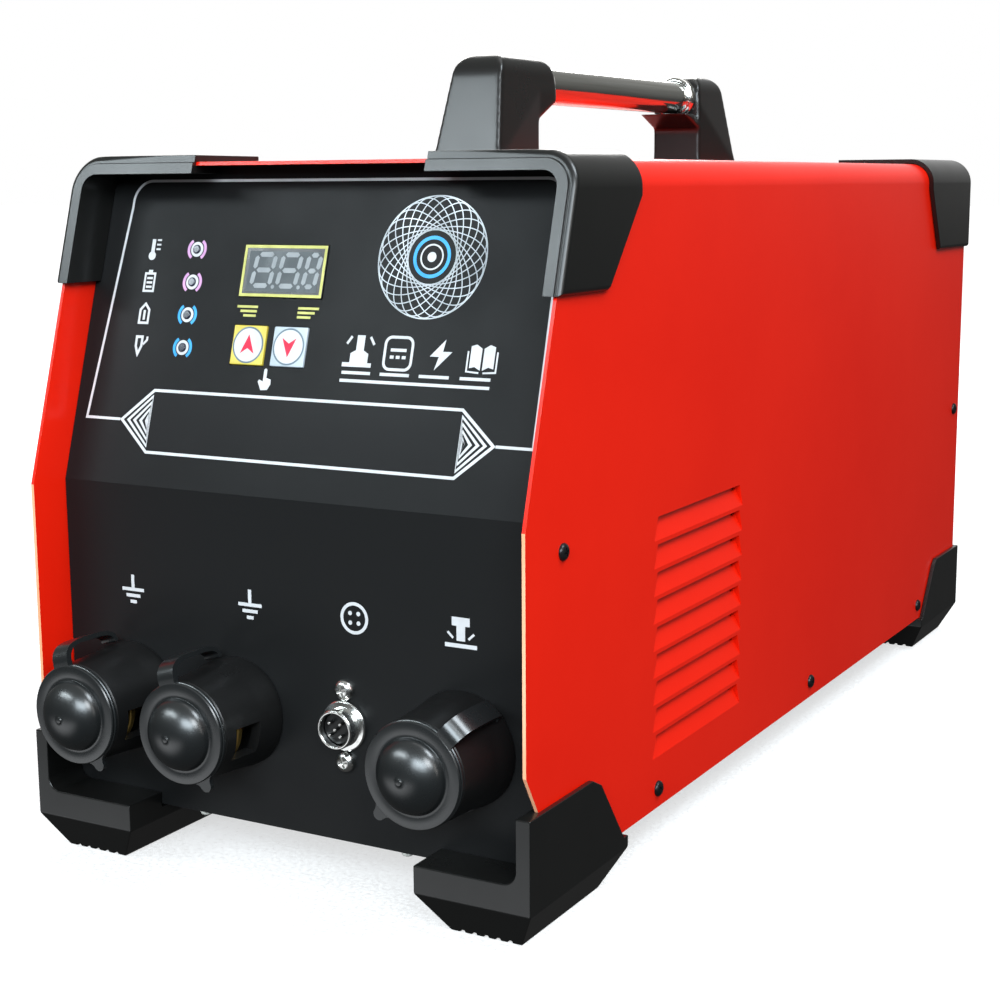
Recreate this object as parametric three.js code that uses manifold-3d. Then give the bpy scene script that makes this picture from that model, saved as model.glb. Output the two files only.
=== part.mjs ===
import * as THREE from 'three'
import * as BufferGeometryUtils from 'three/addons/utils/BufferGeometryUtils.js'
import Module from 'manifold-3d'

const wasm = await Module()
wasm.setup()

// Capacitor discharge stud welder in a sheet-steel case. Millimetres, +X to the viewer's
// right, +Y to the back, +Z up. The case is built with its foremost edge at y = 0 and its
// feet on z = 0, and is centred over the origin at the end.

// General fits
const seat = 0.3
const overrun = 2
const far = 900

// Case
const caseWidth = 250
const caseLength = 606
const coverSheet = 1.5
const coverRadius = 12
const coverTop = 309.7
const coverBottom = 22.2
const kneeHeight = 169.2
const toeHeight = 72.3
const leanSetback = 42
const toeSetback = 30
const recess = 20

// Louvres of both sides
const louvreCount = 9
const louvreFront = 118
const louvreBack = 221
const louvrePitch = 12.4
const louvreHeight = 10.5
const louvreAbove = 3.5
const louvreDepth = 3.4
const louvreFlare = 4
const louvreSheet = 1
const louvreTear = 4
const louvreTearTall = 2.6

// Bent panels
const panelSheet = 1.5
const panelReturn = 14
const panelDrop = 0.8

// Upper corner bumpers
const bumperWall = 2.7
const bumperLip = 8
const bumperDrop = 52.7
const bumperReach = 66
const bumperReachBack = 58
const shoulderDrop = 15
const frontPatchTop = 97
const frontPatchLow = 66
const rearPatchTop = 86
const rearPatchLow = 65
const lipAhead = 3
const rimStep = 1.2
const rimWidth = 3.2

// Feet
const footWall = 2.7
const footWidth = 54
const footPadEdge = 9
const footPadRise = 12
const footBevel = 16.7
const footBevelRun = 9.5
const footAhead = 2.3
const ledgeTop = 28.7
const footLegWidth = 6.7
const footLegTop = 56.3
const footFillet = 6
const frontFootTop = 53
const frontFootCorner = 61
const frontFootLow = 87
const rearFootTop = 48
const rearFootCorner = 53
const rearFootLow = 79
const footCornerDrop = 4
const grooveCount = 5
const grooveWidth = 2
const grooveDepth = 1.2

// Handle
const handleBehind = 17
const handleHalf = 149
const postLength = 49
const postReach = 18.5
const shelfReach = 21
const postHeight = 52
const postHalf = 18.8
const postHalfInner = 14.8
const postHalfTop = 14.2
const postLean = 10
const postCrown = 3
const postShoulder = 11.5
const postRound = 14
const postUnderHigh = 30
const postUnderLow = 21
const tubeRadius = 9.2
const tubeLevel = 39
const tubeInsert = 20
const ringRadius = 12.4
const ringWidth = 4
const ringEdge = 1

// Output sockets, measured from the panel's face
const socketHeight = 73.2
const socketFromLeft = 37
const socketPitch = 58.5
const socketFromRight = 40
const strapAngles = [106, 106, 48]
const tabAngles = [300, 300, 229]
const slotBehind = 118
const barrelReach = 36
const barrelBore = 18.5
const barrelWall = 3.5
const barrelTaper = 1.2
const barrelFloor = 8
const collarStep = 1.5
const collarDepth = 13
const shankRadius = 12
const shankLength = 10
const slotHalf = 6
const slotNear = 16
const slotFar = 28
const contactRadius = 11
const contactBore = 6.6
const contactReach = 18.7
const contactDepth = 8
const studRadius = 5
const studLength = 20

// Dust caps
const capOverlap = 0.2
const capFlange = 3.2
const capRim = 5.2
const domeHeight = 9.6
const domeShoulder = 8.6
const strapWidth = 8.5
const strapSheet = 2
const strapArch = 6.8
const strapRamp = 12
const strapRoot = 4.2
const strapLift = 0.8
const tabWidth = 11
const tabTip = 2.6
const tabSheet = 2.1
const tabProud = 4.8

// Control connector
const connectorSpot = 27.3
const connectorHeight = 74.7
const connectorFlange = 11
const connectorFlangeDepth = 1.8
const connectorBarrel = 8.6
const connectorReach = 8.4
const connectorBore = 7.1
const connectorInset = 3.4
const connectorPins = 4
const pinCircle = 3.8
const pinRadius = 0.8
const pinLength = 2.6

// Things on the leaning panel, heights measured up the slope from the knee
const displayMiddle = -18.7
const displayHeight = 97.9
const displayWidth = 43.6
const displayTall = 23
const displayProud = 0.6
const displayDepth = 6
const keyHeight = 65
const keySize = 17.4
const keyMiddle = -20.6
const keyGap = 4
const keyProud = 0.9
const keySheet = 3.4
const keyStem = 3
const keyTravel = 0.8
const lampAcross = -67.5
const lampTop = 107
const lampPitch = 14.8
const lampCount = 4
const lampRadius = 2.1
const lampProud = 0.8
const boardGap = 9
const boardSheet = 1.6
const boardLeft = -80
const boardRight = 20
const boardLow = 50
const boardHigh = 118

// Base tray
const traySheet = 1.5
const trayRise = 20

// Rear panel fittings
const fanSize = 120
const fanHeight = 109.7
const fanDepth = 36
const fanWall = 4
const fanCorner = 5
const hubRadius = 20
const bladeClear = 3
const bladeCount = 7
const bladeSheet = 2
const bladePitch = 35
const bladeInset = 4
const fanArmWidth = 6
const fanArmDepth = 4
const guardRings = 5
const guardPitch = 10.4
const guardWire = 2
const guardLegs = 4
const guardFoot = 10
const switchAcross = 62
const switchLevel = 235.7
const switchWidth = 30
const switchTall = 44
const switchBezel = 3.5
const switchFrame = 4
const switchDepth = 30
const rockerDrop = 10
const rockerCrown = 3
const rockerClear = 1.3
const rockerTilt = 9
const rockerHeel = 6.3
const glandAcross = -62
const glandLevel = 235.7
const glandRadius = 13
const glandFlange = 17
const glandReach = 21
const glandBore = 8
const glandRim = 2.1
const glandInside = 12
const earthFromSide = 33
const earthLevel = 47.7
const earthRadius = 4
const earthNut = 8
const nutSides = 6
const earthNutDepth = 6
const earthReach = 18
const earthInside = 14
const ventCount = 6
const ventClear = 12
const ventEdge = 11
const ventPitch = 12
const ventTall = 4.2
const ventLow = 87.7

// Parts inside the case
const sideClear = 9
const canRadius = 25
const canHeight = 105
const canFirst = 91
const canPitch = 54
const canRows = 2
const canRow = 4
const canBoard = 2.4
const coreFront = 355
const coreStack = 50
const coreHalf = 60
const coreHeight = 100
const coreWindow = 22
const coreLimb = 17
const coilRadius = 36
const sinkClear = 13
const sinkFront = 80
const sinkBack = 300
const sinkBase = 6
const sinkFin = 42
const finCount = 9
const finSheet = 2.4
const powerSheet = 2
const powerGap = 12
const moduleWidth = 34
const moduleLength = 94
const moduleCount = 2
const moduleShares = [0.08, 0.54]

// Counts of round steps
const cornerSteps = 7
const domeSteps = 6
const roundSteps = 32
const smallSteps = 18

// Angles and lengths that follow from the values above
const quarter = Math.PI / 2
const leanRatio = leanSetback / (coverTop - kneeHeight)
const leanAngle = Math.atan(leanRatio)
const toeRatio = toeSetback / (toeHeight - coverBottom)
const panelHalf = caseWidth / 2 - coverSheet - seat
const rearFace = caseLength - recess
const footOuter = caseWidth / 2 + seat + footWall
const footInner = footOuter - footWidth
const footPad = footOuter - footPadEdge
const footPadInner = footInner + footPadRise
const handleMiddle = caseLength / 2 + handleBehind
const socketLeft = socketFromLeft - caseWidth / 2
const socketSpots = [socketLeft, socketLeft + socketPitch, caseWidth / 2 - socketFromRight]
const barrelMouth = barrelBore + barrelWall
const barrelBase = barrelMouth + barrelTaper
const collarRadius = barrelBase + collarStep
const keySpots = [-1, 1].map((side) => keyMiddle + side * (keySize + keyGap) / 2)
const fanBore = fanSize / 2 - fanWall
const ventNear = fanSize / 2 + ventClear
const ventFar = panelHalf - ventEdge
const earthAcross = caseWidth / 2 - earthFromSide
const coreBack = coreFront + coreStack
const trayFront = recess + panelReturn + seat
const trayBack = rearFace - panelReturn - seat
const trayLevel = coverBottom + seat
const floorLevel = trayLevel + traySheet
const trayInside = panelHalf - traySheet - sideClear
const canLeft = canRadius - trayInside
const canRight = canLeft + (canRows - 1) * canPitch
const sinkLeft = canRight + canRadius + sinkClear
const sinkRight = trayInside

// Solids from three.js shapes
function signedVolume(geometry) {
  const at = geometry.attributes.position
  const index = geometry.index
  const a = new THREE.Vector3()
  const b = new THREE.Vector3()
  const c = new THREE.Vector3()
  let sum = 0
  for (let i = 0; i < index.count; i += 3) {
    a.fromBufferAttribute(at, index.getX(i))
    b.fromBufferAttribute(at, index.getX(i + 1))
    c.fromBufferAttribute(at, index.getX(i + 2))
    sum += a.dot(b.cross(c))
  }
  return sum
}

function solidOf(source) {
  const plain = source.clone()
  plain.deleteAttribute('normal')
  plain.deleteAttribute('uv')
  const welded = BufferGeometryUtils.mergeVertices(plain)
  const order = Array.from(welded.index.array)
  if (signedVolume(welded) < 0) order.reverse()
  return new wasm.Manifold(new wasm.Mesh({
    numProp: 3,
    vertProperties: Float32Array.from(welded.attributes.position.array),
    triVerts: Uint32Array.from(order)
  }))
}

function geometryOf(solid) {
  const mesh = solid.getMesh()
  const geometry = new THREE.BufferGeometry()
  geometry.setAttribute('position', new THREE.BufferAttribute(Float32Array.from(mesh.vertProperties), 3))
  geometry.setIndex(Array.from(mesh.triVerts))
  return geometry
}

function joined(...solids) {
  return solids.reduce((sum, next) => sum.add(next))
}

function outline(points) {
  return new THREE.Shape(points.map(([u, v]) => new THREE.Vector2(u, v)))
}

function extruded(shape, depth, steps) {
  return new THREE.ExtrudeGeometry(shape, { depth, bevelEnabled: false, curveSegments: steps })
}

// A shape drawn in (x, y), raised along z
function alongZ(shape, low, high, steps = cornerSteps) {
  return solidOf(extruded(shape, high - low, steps).translate(0, 0, low))
}

// A shape drawn in (x, z), pushed along y
function alongY(shape, near, back, steps = cornerSteps) {
  return solidOf(extruded(shape, back - near, steps).rotateX(quarter).translate(0, back, 0))
}

// A shape drawn in (y, z), pushed along x
function alongX(shape, left, right, steps = cornerSteps) {
  const turn = new THREE.Matrix4().set(0, 0, 1, left, 1, 0, 0, 0, 0, 1, 0, 0, 0, 0, 0, 1)
  return solidOf(extruded(shape, right - left, steps).applyMatrix4(turn))
}

function block(left, right, near, back, low, high) {
  return alongZ(outline([[left, near], [right, near], [right, back], [left, back]]), low, high)
}

// A body of revolution about the y axis from [radius, y] pairs
function turned(points, steps = roundSteps) {
  return solidOf(new THREE.LatheGeometry(points.map(([r, y]) => new THREE.Vector2(r, y)), steps))
}

function rod(radius, near, back, steps = roundSteps) {
  return turned([[0, near], [radius, near], [radius, back], [0, back]], steps)
}

function moved(solid, x, y, z) {
  return solid.translate([x, y, z])
}

function mirroredAcross(solid) {
  return solidOf(geometryOf(solid).scale(-1, 1, 1))
}

function mirroredAlong(solid, middle) {
  return solidOf(geometryOf(solid).scale(1, -1, 1).translate(0, middle + middle, 0))
}

// The case's outline from the front, moved outward or inward
function hoodShape(outset, low) {
  const half = caseWidth / 2 + outset
  const top = coverTop + outset
  const radius = coverRadius + outset
  const shape = new THREE.Shape()
  shape.moveTo(-half, low)
  shape.lineTo(-half, top - radius)
  shape.absarc(radius - half, top - radius, radius, Math.PI, quarter, true)
  shape.lineTo(half - radius, top)
  shape.absarc(half - radius, top - radius, radius, quarter, 0, true)
  shape.lineTo(half, low)
  shape.closePath()
  return shape
}

function hood(outset, low) {
  return alongY(hoodShape(outset, low), -far, far)
}

// How far back the cover's front edge lies at a height
function frontEdge(height) {
  if (height < toeHeight) return (toeHeight - height) * toeRatio
  if (height > kneeHeight) return (height - kneeHeight) * leanRatio
  return 0
}

// Everything ahead of the front edge, moved back by an offset
function aheadOfFront(offset) {
  const high = coverTop + coverTop
  const turns = [0, toeHeight, kneeHeight, high].map((z) => [frontEdge(z) + offset, z])
  return alongX(outline([[-far, 0], ...turns, [-far, high]]), -far, far)
}

// Everything ahead of the front panel, which leans over the knee and is upright below it
function aheadOfPanel(offset) {
  const high = coverTop + coverTop
  const turns = [0, kneeHeight, high].map((z) => [Math.max(z - kneeHeight, 0) * leanRatio + offset, z])
  return alongX(outline([[-far, 0], ...turns, [-far, high]]), -far, far)
}

// Everything ahead of a plain upright edge
function aheadOfUpright(offset) {
  return block(-far, far, -far, offset, -far, far)
}

// The outline of a louvre in the cover's side, wider at its foot, grown by a thickness
function louvreShape(foot, grown) {
  const high = foot + louvreHeight
  return outline([
    [louvreFront + louvreFlare - grown, high],
    [louvreBack - louvreFlare + grown, high],
    [louvreBack + grown, foot - grown],
    [louvreFront - grown, foot - grown]
  ])
}

// The tongue pressed into the case on the right side, flush at its foot and open at its top
function louvreTongue(foot) {
  const face = caseWidth / 2
  const high = foot + louvreHeight
  return alongX(louvreShape(foot, louvreSheet), face - louvreDepth - louvreSheet, face)
    .intersect(alongY(outline([
      [face, high],
      [face - louvreDepth - louvreSheet, high],
      [face - coverSheet, foot - louvreSheet],
      [face, foot - louvreSheet]
    ]), louvreFront - overrun, louvreBack + overrun))
}

// The hollow outside the tongue, with the tear at its rear upper corner
function louvreHollow(foot) {
  const face = caseWidth / 2
  const high = foot + louvreHeight
  const tear = louvreBack - louvreFlare
  return alongX(louvreShape(foot, 0), face - louvreDepth - louvreSheet, face + overrun)
    .intersect(alongY(outline([
      [face + overrun, high],
      [face - louvreDepth, high],
      [face, foot],
      [face + overrun, foot]
    ]), louvreFront - overrun, louvreBack + overrun))
    .add(block(
      face - louvreDepth - louvreSheet - overrun, face - coverSheet,
      tear - louvreTear, tear, high - louvreTearTall, high))
}

// Red folded cover with its louvres
function cover() {
  let solid = alongY(hoodShape(0, coverBottom), 0, caseLength)
    .subtract(hood(-coverSheet, -far))
    .subtract(aheadOfFront(0))
  for (let i = 0; i < louvreCount; i++) {
    const foot = trayLevel + trayRise + louvreAbove + i * louvrePitch
    const tongue = louvreTongue(foot)
    const hollow = louvreHollow(foot)
    solid = solid.add(tongue).add(mirroredAcross(tongue))
    solid = solid.subtract(hollow).subtract(mirroredAcross(hollow))
  }
  return solid
}

// Upper corner bumper of the right side, for either end, its rim set back behind the lip
function bumper(ahead, patchTop, patchLow) {
  const outset = seat + bumperWall
  const inner = caseWidth / 2 - bumperReach
  const innerBack = caseWidth / 2 - bumperReachBack
  const slot = hood(seat, -far)
    .subtract(hood(-coverSheet - seat, -far - overrun))
    .subtract(ahead(-seat))
  const behindPanel = hood(-coverSheet, -far).subtract(ahead(recess - seat))
  const side = outline([
    [-far, coverTop - bumperDrop],
    [patchLow, coverTop - bumperDrop],
    [patchTop, coverTop - shoulderDrop],
    [patchTop, coverTop + far],
    [-far, coverTop + far]
  ])
  const plan = outline([
    [inner, -far],
    [caseWidth, -far],
    [caseWidth, far],
    [innerBack, far],
    [innerBack, patchTop],
    [inner, leanSetback]
  ])
  const lip = hood(outset - rimWidth, -far).subtract(ahead(-lipAhead))
  return hood(outset, -far)
    .subtract(ahead(rimStep - lipAhead))
    .add(lip)
    .subtract(hood(outset - bumperLip, -far - overrun))
    .intersect(alongX(side, -far, far))
    .intersect(alongZ(plan, -far, far))
    .subtract(slot)
    .subtract(behindPanel)
}

// Lower corner foot of the right side, for either end
function foot(ahead, top, corner, low) {
  const front = new THREE.Shape()
  front.moveTo(footPad, 0)
  front.lineTo(footOuter, footBevel)
  front.lineTo(footOuter, footLegTop)
  front.lineTo(footOuter - footLegWidth, footLegTop)
  front.lineTo(footOuter - footLegWidth, ledgeTop + footFillet)
  front.absarc(footOuter - footLegWidth - footFillet, ledgeTop + footFillet, footFillet, 0, -quarter, true)
  front.lineTo(footInner, ledgeTop)
  front.lineTo(footInner, footBevel)
  front.lineTo(footPadInner, 0)
  front.closePath()
  const padTop = coverBottom - seat
  const pad = outline([
    [footPad, 0],
    [footOuter, footBevel],
    [footOuter, padTop],
    [footInner, padTop],
    [footInner, footBevel],
    [footPadInner, 0]
  ])
  const patch = outline([
    [-footAhead, footBevel],
    [low, footBevel],
    [corner, footLegTop - footCornerDrop],
    [top, footLegTop],
    [-footAhead, footLegTop]
  ])
  const bevels = outline([
    [footBevelRun - footAhead, 0],
    [low - footBevelRun - footAhead, 0],
    [low, footBevel],
    [low, far],
    [-footAhead, far],
    [-footAhead, footBevel]
  ])
  const slot = block(panelHalf, caseWidth / 2 + seat, -far, far, coverBottom - seat, far)
    .subtract(ahead(-seat))
  let solid = joined(
    alongY(front, -footAhead, recess - seat),
    alongY(pad, -footAhead, low),
    alongX(patch, caseWidth / 2 + seat, footOuter)
  ).subtract(slot).intersect(alongX(bevels, -far, far))
  const pitch = (footPad - footPadInner) / (grooveCount + 1)
  for (let i = 1; i <= grooveCount; i++) {
    const middle = footPadInner + i * pitch
    solid = solid.subtract(block(
      middle - grooveWidth / 2, middle + grooveWidth / 2, -far, far, -overrun, grooveDepth))
  }
  return solid
}

// A panel folded from sheet: its face follows the case's end, its edges return inward
function foldedPanel(ahead) {
  const outset = -coverSheet - seat
  const low = coverBottom + panelDrop
  const body = alongY(hoodShape(outset, low), 0, caseLength)
    .subtract(ahead(recess))
    .intersect(ahead(recess + panelReturn))
  const inner = alongY(hoodShape(outset - panelSheet, low + panelSheet), 0, caseLength)
    .subtract(ahead(recess + panelSheet))
  return body.subtract(inner)
}

// Puts a solid made over the knee on the leaning panel: x across, y into the panel, z up the slope
function onSlope(solid) {
  const turn = new THREE.Matrix4().makeRotationX(-leanAngle)
  return solidOf(geometryOf(solid).applyMatrix4(turn).translate(0, recess, kneeHeight))
}

function slopeBlock(middle, width, height, tall, near, back) {
  return block(middle - width / 2, middle + width / 2, near, back, height - tall / 2, height + tall / 2)
}

function lampSolid(i, radius, near, back) {
  return moved(rod(radius, near, back, smallSteps), lampAcross, 0, lampTop - i * lampPitch)
}

// Black front panel with its cut-outs
function frontPanel() {
  const cuts = [slopeBlock(
    displayMiddle, displayWidth + seat + seat, displayHeight, displayTall + seat + seat, -overrun, recess)]
  for (const spot of keySpots) {
    cuts.push(slopeBlock(spot, keySize + seat + seat, keyHeight, keySize + seat + seat, -overrun, recess))
  }
  for (let i = 0; i < lampCount; i++) cuts.push(lampSolid(i, lampRadius + seat, -overrun, recess))
  let solid = foldedPanel(aheadOfPanel)
  for (const cut of cuts) solid = solid.subtract(onSlope(cut))
  for (const spot of socketSpots) {
    solid = solid.subtract(moved(rod(shankRadius + seat, 0, caseWidth), spot, 0, socketHeight))
  }
  return solid.subtract(moved(rod(connectorBarrel + seat, 0, caseWidth), connectorSpot, 0, connectorHeight))
}

// Display window with its module
function displayWindow() {
  return onSlope(slopeBlock(
    displayMiddle, displayWidth, displayHeight, displayTall, -displayProud, displayDepth))
}

// Key with the stem that reaches for its switch
function key(spot) {
  const cap = slopeBlock(spot, keySize, keyHeight, keySize, -keyProud, keySheet)
  const reach = boardGap - keyTravel - seat
  return onSlope(cap.add(moved(rod(keyStem, 0, reach, smallSteps), spot, 0, keyHeight)))
}

// Indicator lamp, from its head to the circuit board
function lamp(i) {
  return onSlope(lampSolid(i, lampRadius, -lampProud, boardGap - seat))
}

// Circuit board behind the leaning panel, hung from the window's module
function panelBoard() {
  const board = block(boardLeft, boardRight, boardGap, boardGap + boardSheet, boardLow, boardHigh)
  const spacer = slopeBlock(
    displayMiddle, displayWidth, displayHeight, displayTall, displayDepth + seat, boardGap + boardSheet)
  return onSlope(board.add(spacer))
}

// Socket barrel: collar on the panel, bored front with a side slot, shank through the panel
function socketBarrel(spot, angle) {
  const face = recess - seat
  const hole = studRadius + seat
  const barrel = turned([
    [hole, face + shankLength],
    [shankRadius, face + shankLength],
    [shankRadius, face],
    [collarRadius, face],
    [collarRadius, face - collarDepth],
    [barrelBase, face - collarDepth],
    [barrelMouth, face - barrelReach],
    [barrelBore, face - barrelReach],
    [barrelBore, face - barrelFloor],
    [hole, face - barrelFloor],
    [hole, face + shankLength]
  ])
  const slot = block(0, caseWidth, face - slotFar, face - slotNear, -slotHalf, slotHalf)
  return moved(barrel.subtract(slot.rotate([0, slotBehind - angle, 0])), spot, 0, socketHeight)
}

// Brass contact: a bored cylinder with a stud through the barrel's floor
function socketContact(spot) {
  const floor = recess - seat - barrelFloor - seat
  const mouth = recess - seat - contactReach
  return moved(turned([
    [0, floor + studLength + barrelFloor],
    [studRadius, floor + studLength + barrelFloor],
    [studRadius, floor],
    [contactRadius, floor],
    [contactRadius, mouth],
    [contactBore, mouth],
    [contactBore, mouth + contactDepth],
    [0, mouth + contactDepth]
  ], smallSteps), spot, 0, socketHeight)
}

// Rubber dust cap: domed disc, pull tab and the strap back to the collar
function dustCap(spot, angle, tabAngle) {
  const back = recess - seat - barrelReach - seat
  const front = back - capFlange
  const capRadius = barrelMouth + capOverlap
  const domeRadius = capRadius - capRim
  const rimIn = capRadius - strapRoot
  const rimOut = capRadius + strapLift
  const crest = collarRadius + strapArch
  const tabEnd = capRadius + tabProud
  const dome = new THREE.Path()
  dome.moveTo(0, back)
  dome.lineTo(capRadius, back)
  dome.lineTo(capRadius, front)
  dome.lineTo(domeRadius, front)
  dome.quadraticCurveTo(domeRadius, front - domeShoulder, 0, front - domeHeight)
  const disc = solidOf(new THREE.LatheGeometry(dome.getPoints(domeSteps), roundSteps))
  const rootY = recess - seat - collarDepth / 2
  const rootZ = collarRadius + seat + strapSheet / 2
  const half = strapSheet / 2
  const strap = new THREE.Shape()
  strap.moveTo(back, rimIn)
  strap.lineTo(front, rimIn)
  strap.lineTo(front, rimOut)
  strap.quadraticCurveTo(front, crest, front + strapRamp, crest)
  strap.lineTo(rootY - strapRamp, crest)
  strap.quadraticCurveTo(rootY + half, crest, rootY + half, rootZ)
  strap.absarc(rootY, rootZ, half, 0, -Math.PI, true)
  strap.quadraticCurveTo(rootY - half, crest - strapSheet, rootY - strapRamp, crest - strapSheet)
  strap.lineTo(front + strapRamp, crest - strapSheet)
  strap.quadraticCurveTo(back, crest - strapSheet, back, rimOut)
  strap.closePath()
  const tab = new THREE.Shape()
  tab.moveTo(-tabWidth / 2, rimIn)
  tab.lineTo(tabWidth / 2, rimIn)
  tab.lineTo(tabTip, tabEnd - tabTip)
  tab.absarc(0, tabEnd - tabTip, tabTip, 0, Math.PI, false)
  tab.closePath()
  const solid = joined(
    disc,
    alongX(strap, -strapWidth / 2, strapWidth / 2).rotate([0, 90 - angle, 0]),
    alongY(tab, back - tabSheet, back).rotate([0, 90 - tabAngle, 0])
  )
  return moved(solid, spot, 0, socketHeight)
}

// Control connector's shell
function connectorShell() {
  const face = recess - seat
  return moved(turned([
    [connectorBore, face + shankLength],
    [connectorBarrel, face + shankLength],
    [connectorBarrel, face],
    [connectorFlange, face],
    [connectorFlange, face - connectorFlangeDepth],
    [connectorBarrel, face - connectorFlangeDepth],
    [connectorBarrel, face - connectorReach],
    [connectorBore, face - connectorReach],
    [connectorBore, face + shankLength]
  ], roundSteps), connectorSpot, 0, connectorHeight)
}

// Control connector's insulator with its pins
function connectorInsert() {
  const face = recess - seat - connectorReach + connectorInset
  const pin = rod(pinRadius, face - pinLength, face + pinLength, cornerSteps)
  let solid = rod(connectorBore - seat, face, recess + shankLength, smallSteps).add(pin)
  for (let i = 0; i < connectorPins; i++) {
    const turn = (i + 0.5) * Math.PI * 2 / connectorPins
    solid = solid.add(moved(pin, pinCircle * Math.cos(turn), 0, pinCircle * Math.sin(turn)))
  }
  return moved(solid, connectorSpot, 0, connectorHeight)
}

// Tray that closes the case underneath and carries what is inside
function baseTray() {
  const body = block(-panelHalf, panelHalf, trayFront, trayBack, trayLevel, trayLevel + trayRise)
  return body.subtract(block(
    traySheet - panelHalf, panelHalf - traySheet, trayFront - overrun, trayBack + overrun,
    floorLevel, trayLevel + trayRise + overrun))
}

// Rear panel with its cut-outs
function rearPanel() {
  let solid = mirroredAlong(foldedPanel(aheadOfUpright), caseLength / 2)
  const cuts = [
    moved(rod(fanBore, 0, far), 0, 0, fanHeight),
    block(
      switchAcross - switchWidth / 2 - seat, switchAcross + switchWidth / 2 + seat, 0, far,
      switchLevel - switchTall / 2 - seat, switchLevel + switchTall / 2 + seat),
    moved(rod(glandRadius + seat, 0, far, smallSteps), glandAcross, 0, glandLevel),
    moved(rod(earthRadius + seat, 0, far, smallSteps), earthAcross, 0, earthLevel)
  ]
  for (let i = 0; i < ventCount; i++) {
    const low = ventLow + i * ventPitch
    for (const side of [-1, 1]) {
      const ends = [side * ventNear, side * ventFar].sort((a, b) => a - b)
      cuts.push(block(ends[0], ends[1], 0, far, low, low + ventTall))
    }
  }
  const ahead = block(-far, far, caseLength / 2, far, -far, far)
  for (const cut of cuts) solid = solid.subtract(cut.intersect(ahead))
  return solid
}

// Fan frame behind the rear panel, with the arms that hold the motor
function fanFrame() {
  const back = rearFace - panelSheet - seat
  const front = back - fanDepth
  const half = fanSize / 2
  const square = new THREE.Shape()
  square.moveTo(fanCorner - half, -half)
  square.lineTo(half - fanCorner, -half)
  square.lineTo(half, fanCorner - half)
  square.lineTo(half, half - fanCorner)
  square.lineTo(half - fanCorner, half)
  square.lineTo(fanCorner - half, half)
  square.lineTo(-half, half - fanCorner)
  square.lineTo(-half, fanCorner - half)
  square.closePath()
  const reach = fanBore + seat
  const wide = fanArmWidth / 2
  const arms = block(-reach, reach, front, front + fanArmDepth, -wide, wide)
    .add(block(-wide, wide, front, front + fanArmDepth, -reach, reach))
    .add(rod(hubRadius, front, front + fanArmDepth, smallSteps))
  const frame = alongY(square, front, back).subtract(rod(fanBore, front - overrun, back + overrun))
  return moved(frame.add(arms), 0, 0, fanHeight)
}

// Fan rotor: hub and pitched blades
function fanRotor() {
  const frameBack = rearFace - panelSheet - seat
  const near = frameBack - fanDepth + fanArmDepth + seat + seat
  const back = frameBack - bladeInset
  let solid = rod(hubRadius, near, back, smallSteps)
  const middle = (near + back) / 2
  for (let i = 0; i < bladeCount; i++) {
    const blade = block(
      0, fanBore - bladeClear, -bladeSheet / 2, bladeSheet / 2, -hubRadius / 2, hubRadius / 2)
    const set = moved(blade.rotate([bladePitch, 0, 0]), 0, middle, 0)
    solid = solid.add(set.rotate([0, i * 360 / bladeCount, 0]))
  }
  return moved(solid, 0, 0, fanHeight)
}

// Wire guard over the fan
function fanGuard() {
  const near = rearFace + seat
  const wires = []
  for (let i = 1; i <= guardRings; i++) {
    const radius = i * guardPitch
    wires.push(turned([
      [radius - guardWire / 2, near],
      [radius + guardWire / 2, near],
      [radius + guardWire / 2, near + guardWire],
      [radius - guardWire / 2, near + guardWire],
      [radius - guardWire / 2, near]
    ], smallSteps + cornerSteps))
  }
  for (let i = 0; i < guardLegs; i++) {
    const leg = block(0, fanBore + guardFoot, near, near + guardWire, -guardWire / 2, guardWire / 2)
    wires.push(leg.rotate([0, (i + 0.5) * 360 / guardLegs, 0]))
  }
  return moved(joined(...wires), 0, 0, fanHeight)
}

// Power switch's frame on the rear panel
function switchBody() {
  const bezel = slopeBlock(
    0, switchWidth + switchBezel + switchBezel, 0, switchTall + switchBezel + switchBezel,
    rearFace + seat, rearFace + seat + switchFrame)
  const box = slopeBlock(0, switchWidth, 0, switchTall, rearFace - switchDepth, rearFace + seat)
  const well = slopeBlock(
    0, switchWidth - switchBezel, 0, switchTall - switchBezel, rearFace - rockerDrop, rearFace + far)
  return moved(bezel.add(box).subtract(well), switchAcross, 0, switchLevel)
}

// Rocker of the power switch, resting with its lower end pressed in
function switchRocker() {
  const half = (switchWidth - switchBezel) / 2 - seat
  const tall = (switchTall - switchBezel) / 2 - rockerClear
  const shape = new THREE.Shape()
  shape.moveTo(-rockerDrop / 2, -rockerHeel)
  shape.lineTo(switchFrame, -tall)
  shape.lineTo(switchFrame + rockerCrown, -tall)
  shape.quadraticCurveTo(switchFrame, 0, switchFrame + rockerCrown, tall)
  shape.lineTo(switchFrame, tall)
  shape.lineTo(-rockerDrop / 2, rockerHeel)
  shape.closePath()
  const drum = alongX(shape, -half, half).rotate([rockerTilt, 0, 0])
  return moved(drum, switchAcross, rearFace, switchLevel)
}

// Empty cord gland: flange, body and dome nut, with its bore open
function cordGland() {
  const face = rearFace + seat
  return moved(turned([
    [glandBore, rearFace - glandInside],
    [glandRadius, rearFace - glandInside],
    [glandRadius, face],
    [glandFlange, face],
    [glandFlange, face + glandInside / 2],
    [glandRadius + seat, face + glandInside / 2],
    [glandRadius + seat, face + glandReach / 2],
    [glandBore + glandRim, face + glandReach],
    [glandBore, face + glandReach],
    [glandBore, rearFace - glandInside]
  ], smallSteps), glandAcross, 0, glandLevel)
}

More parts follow.
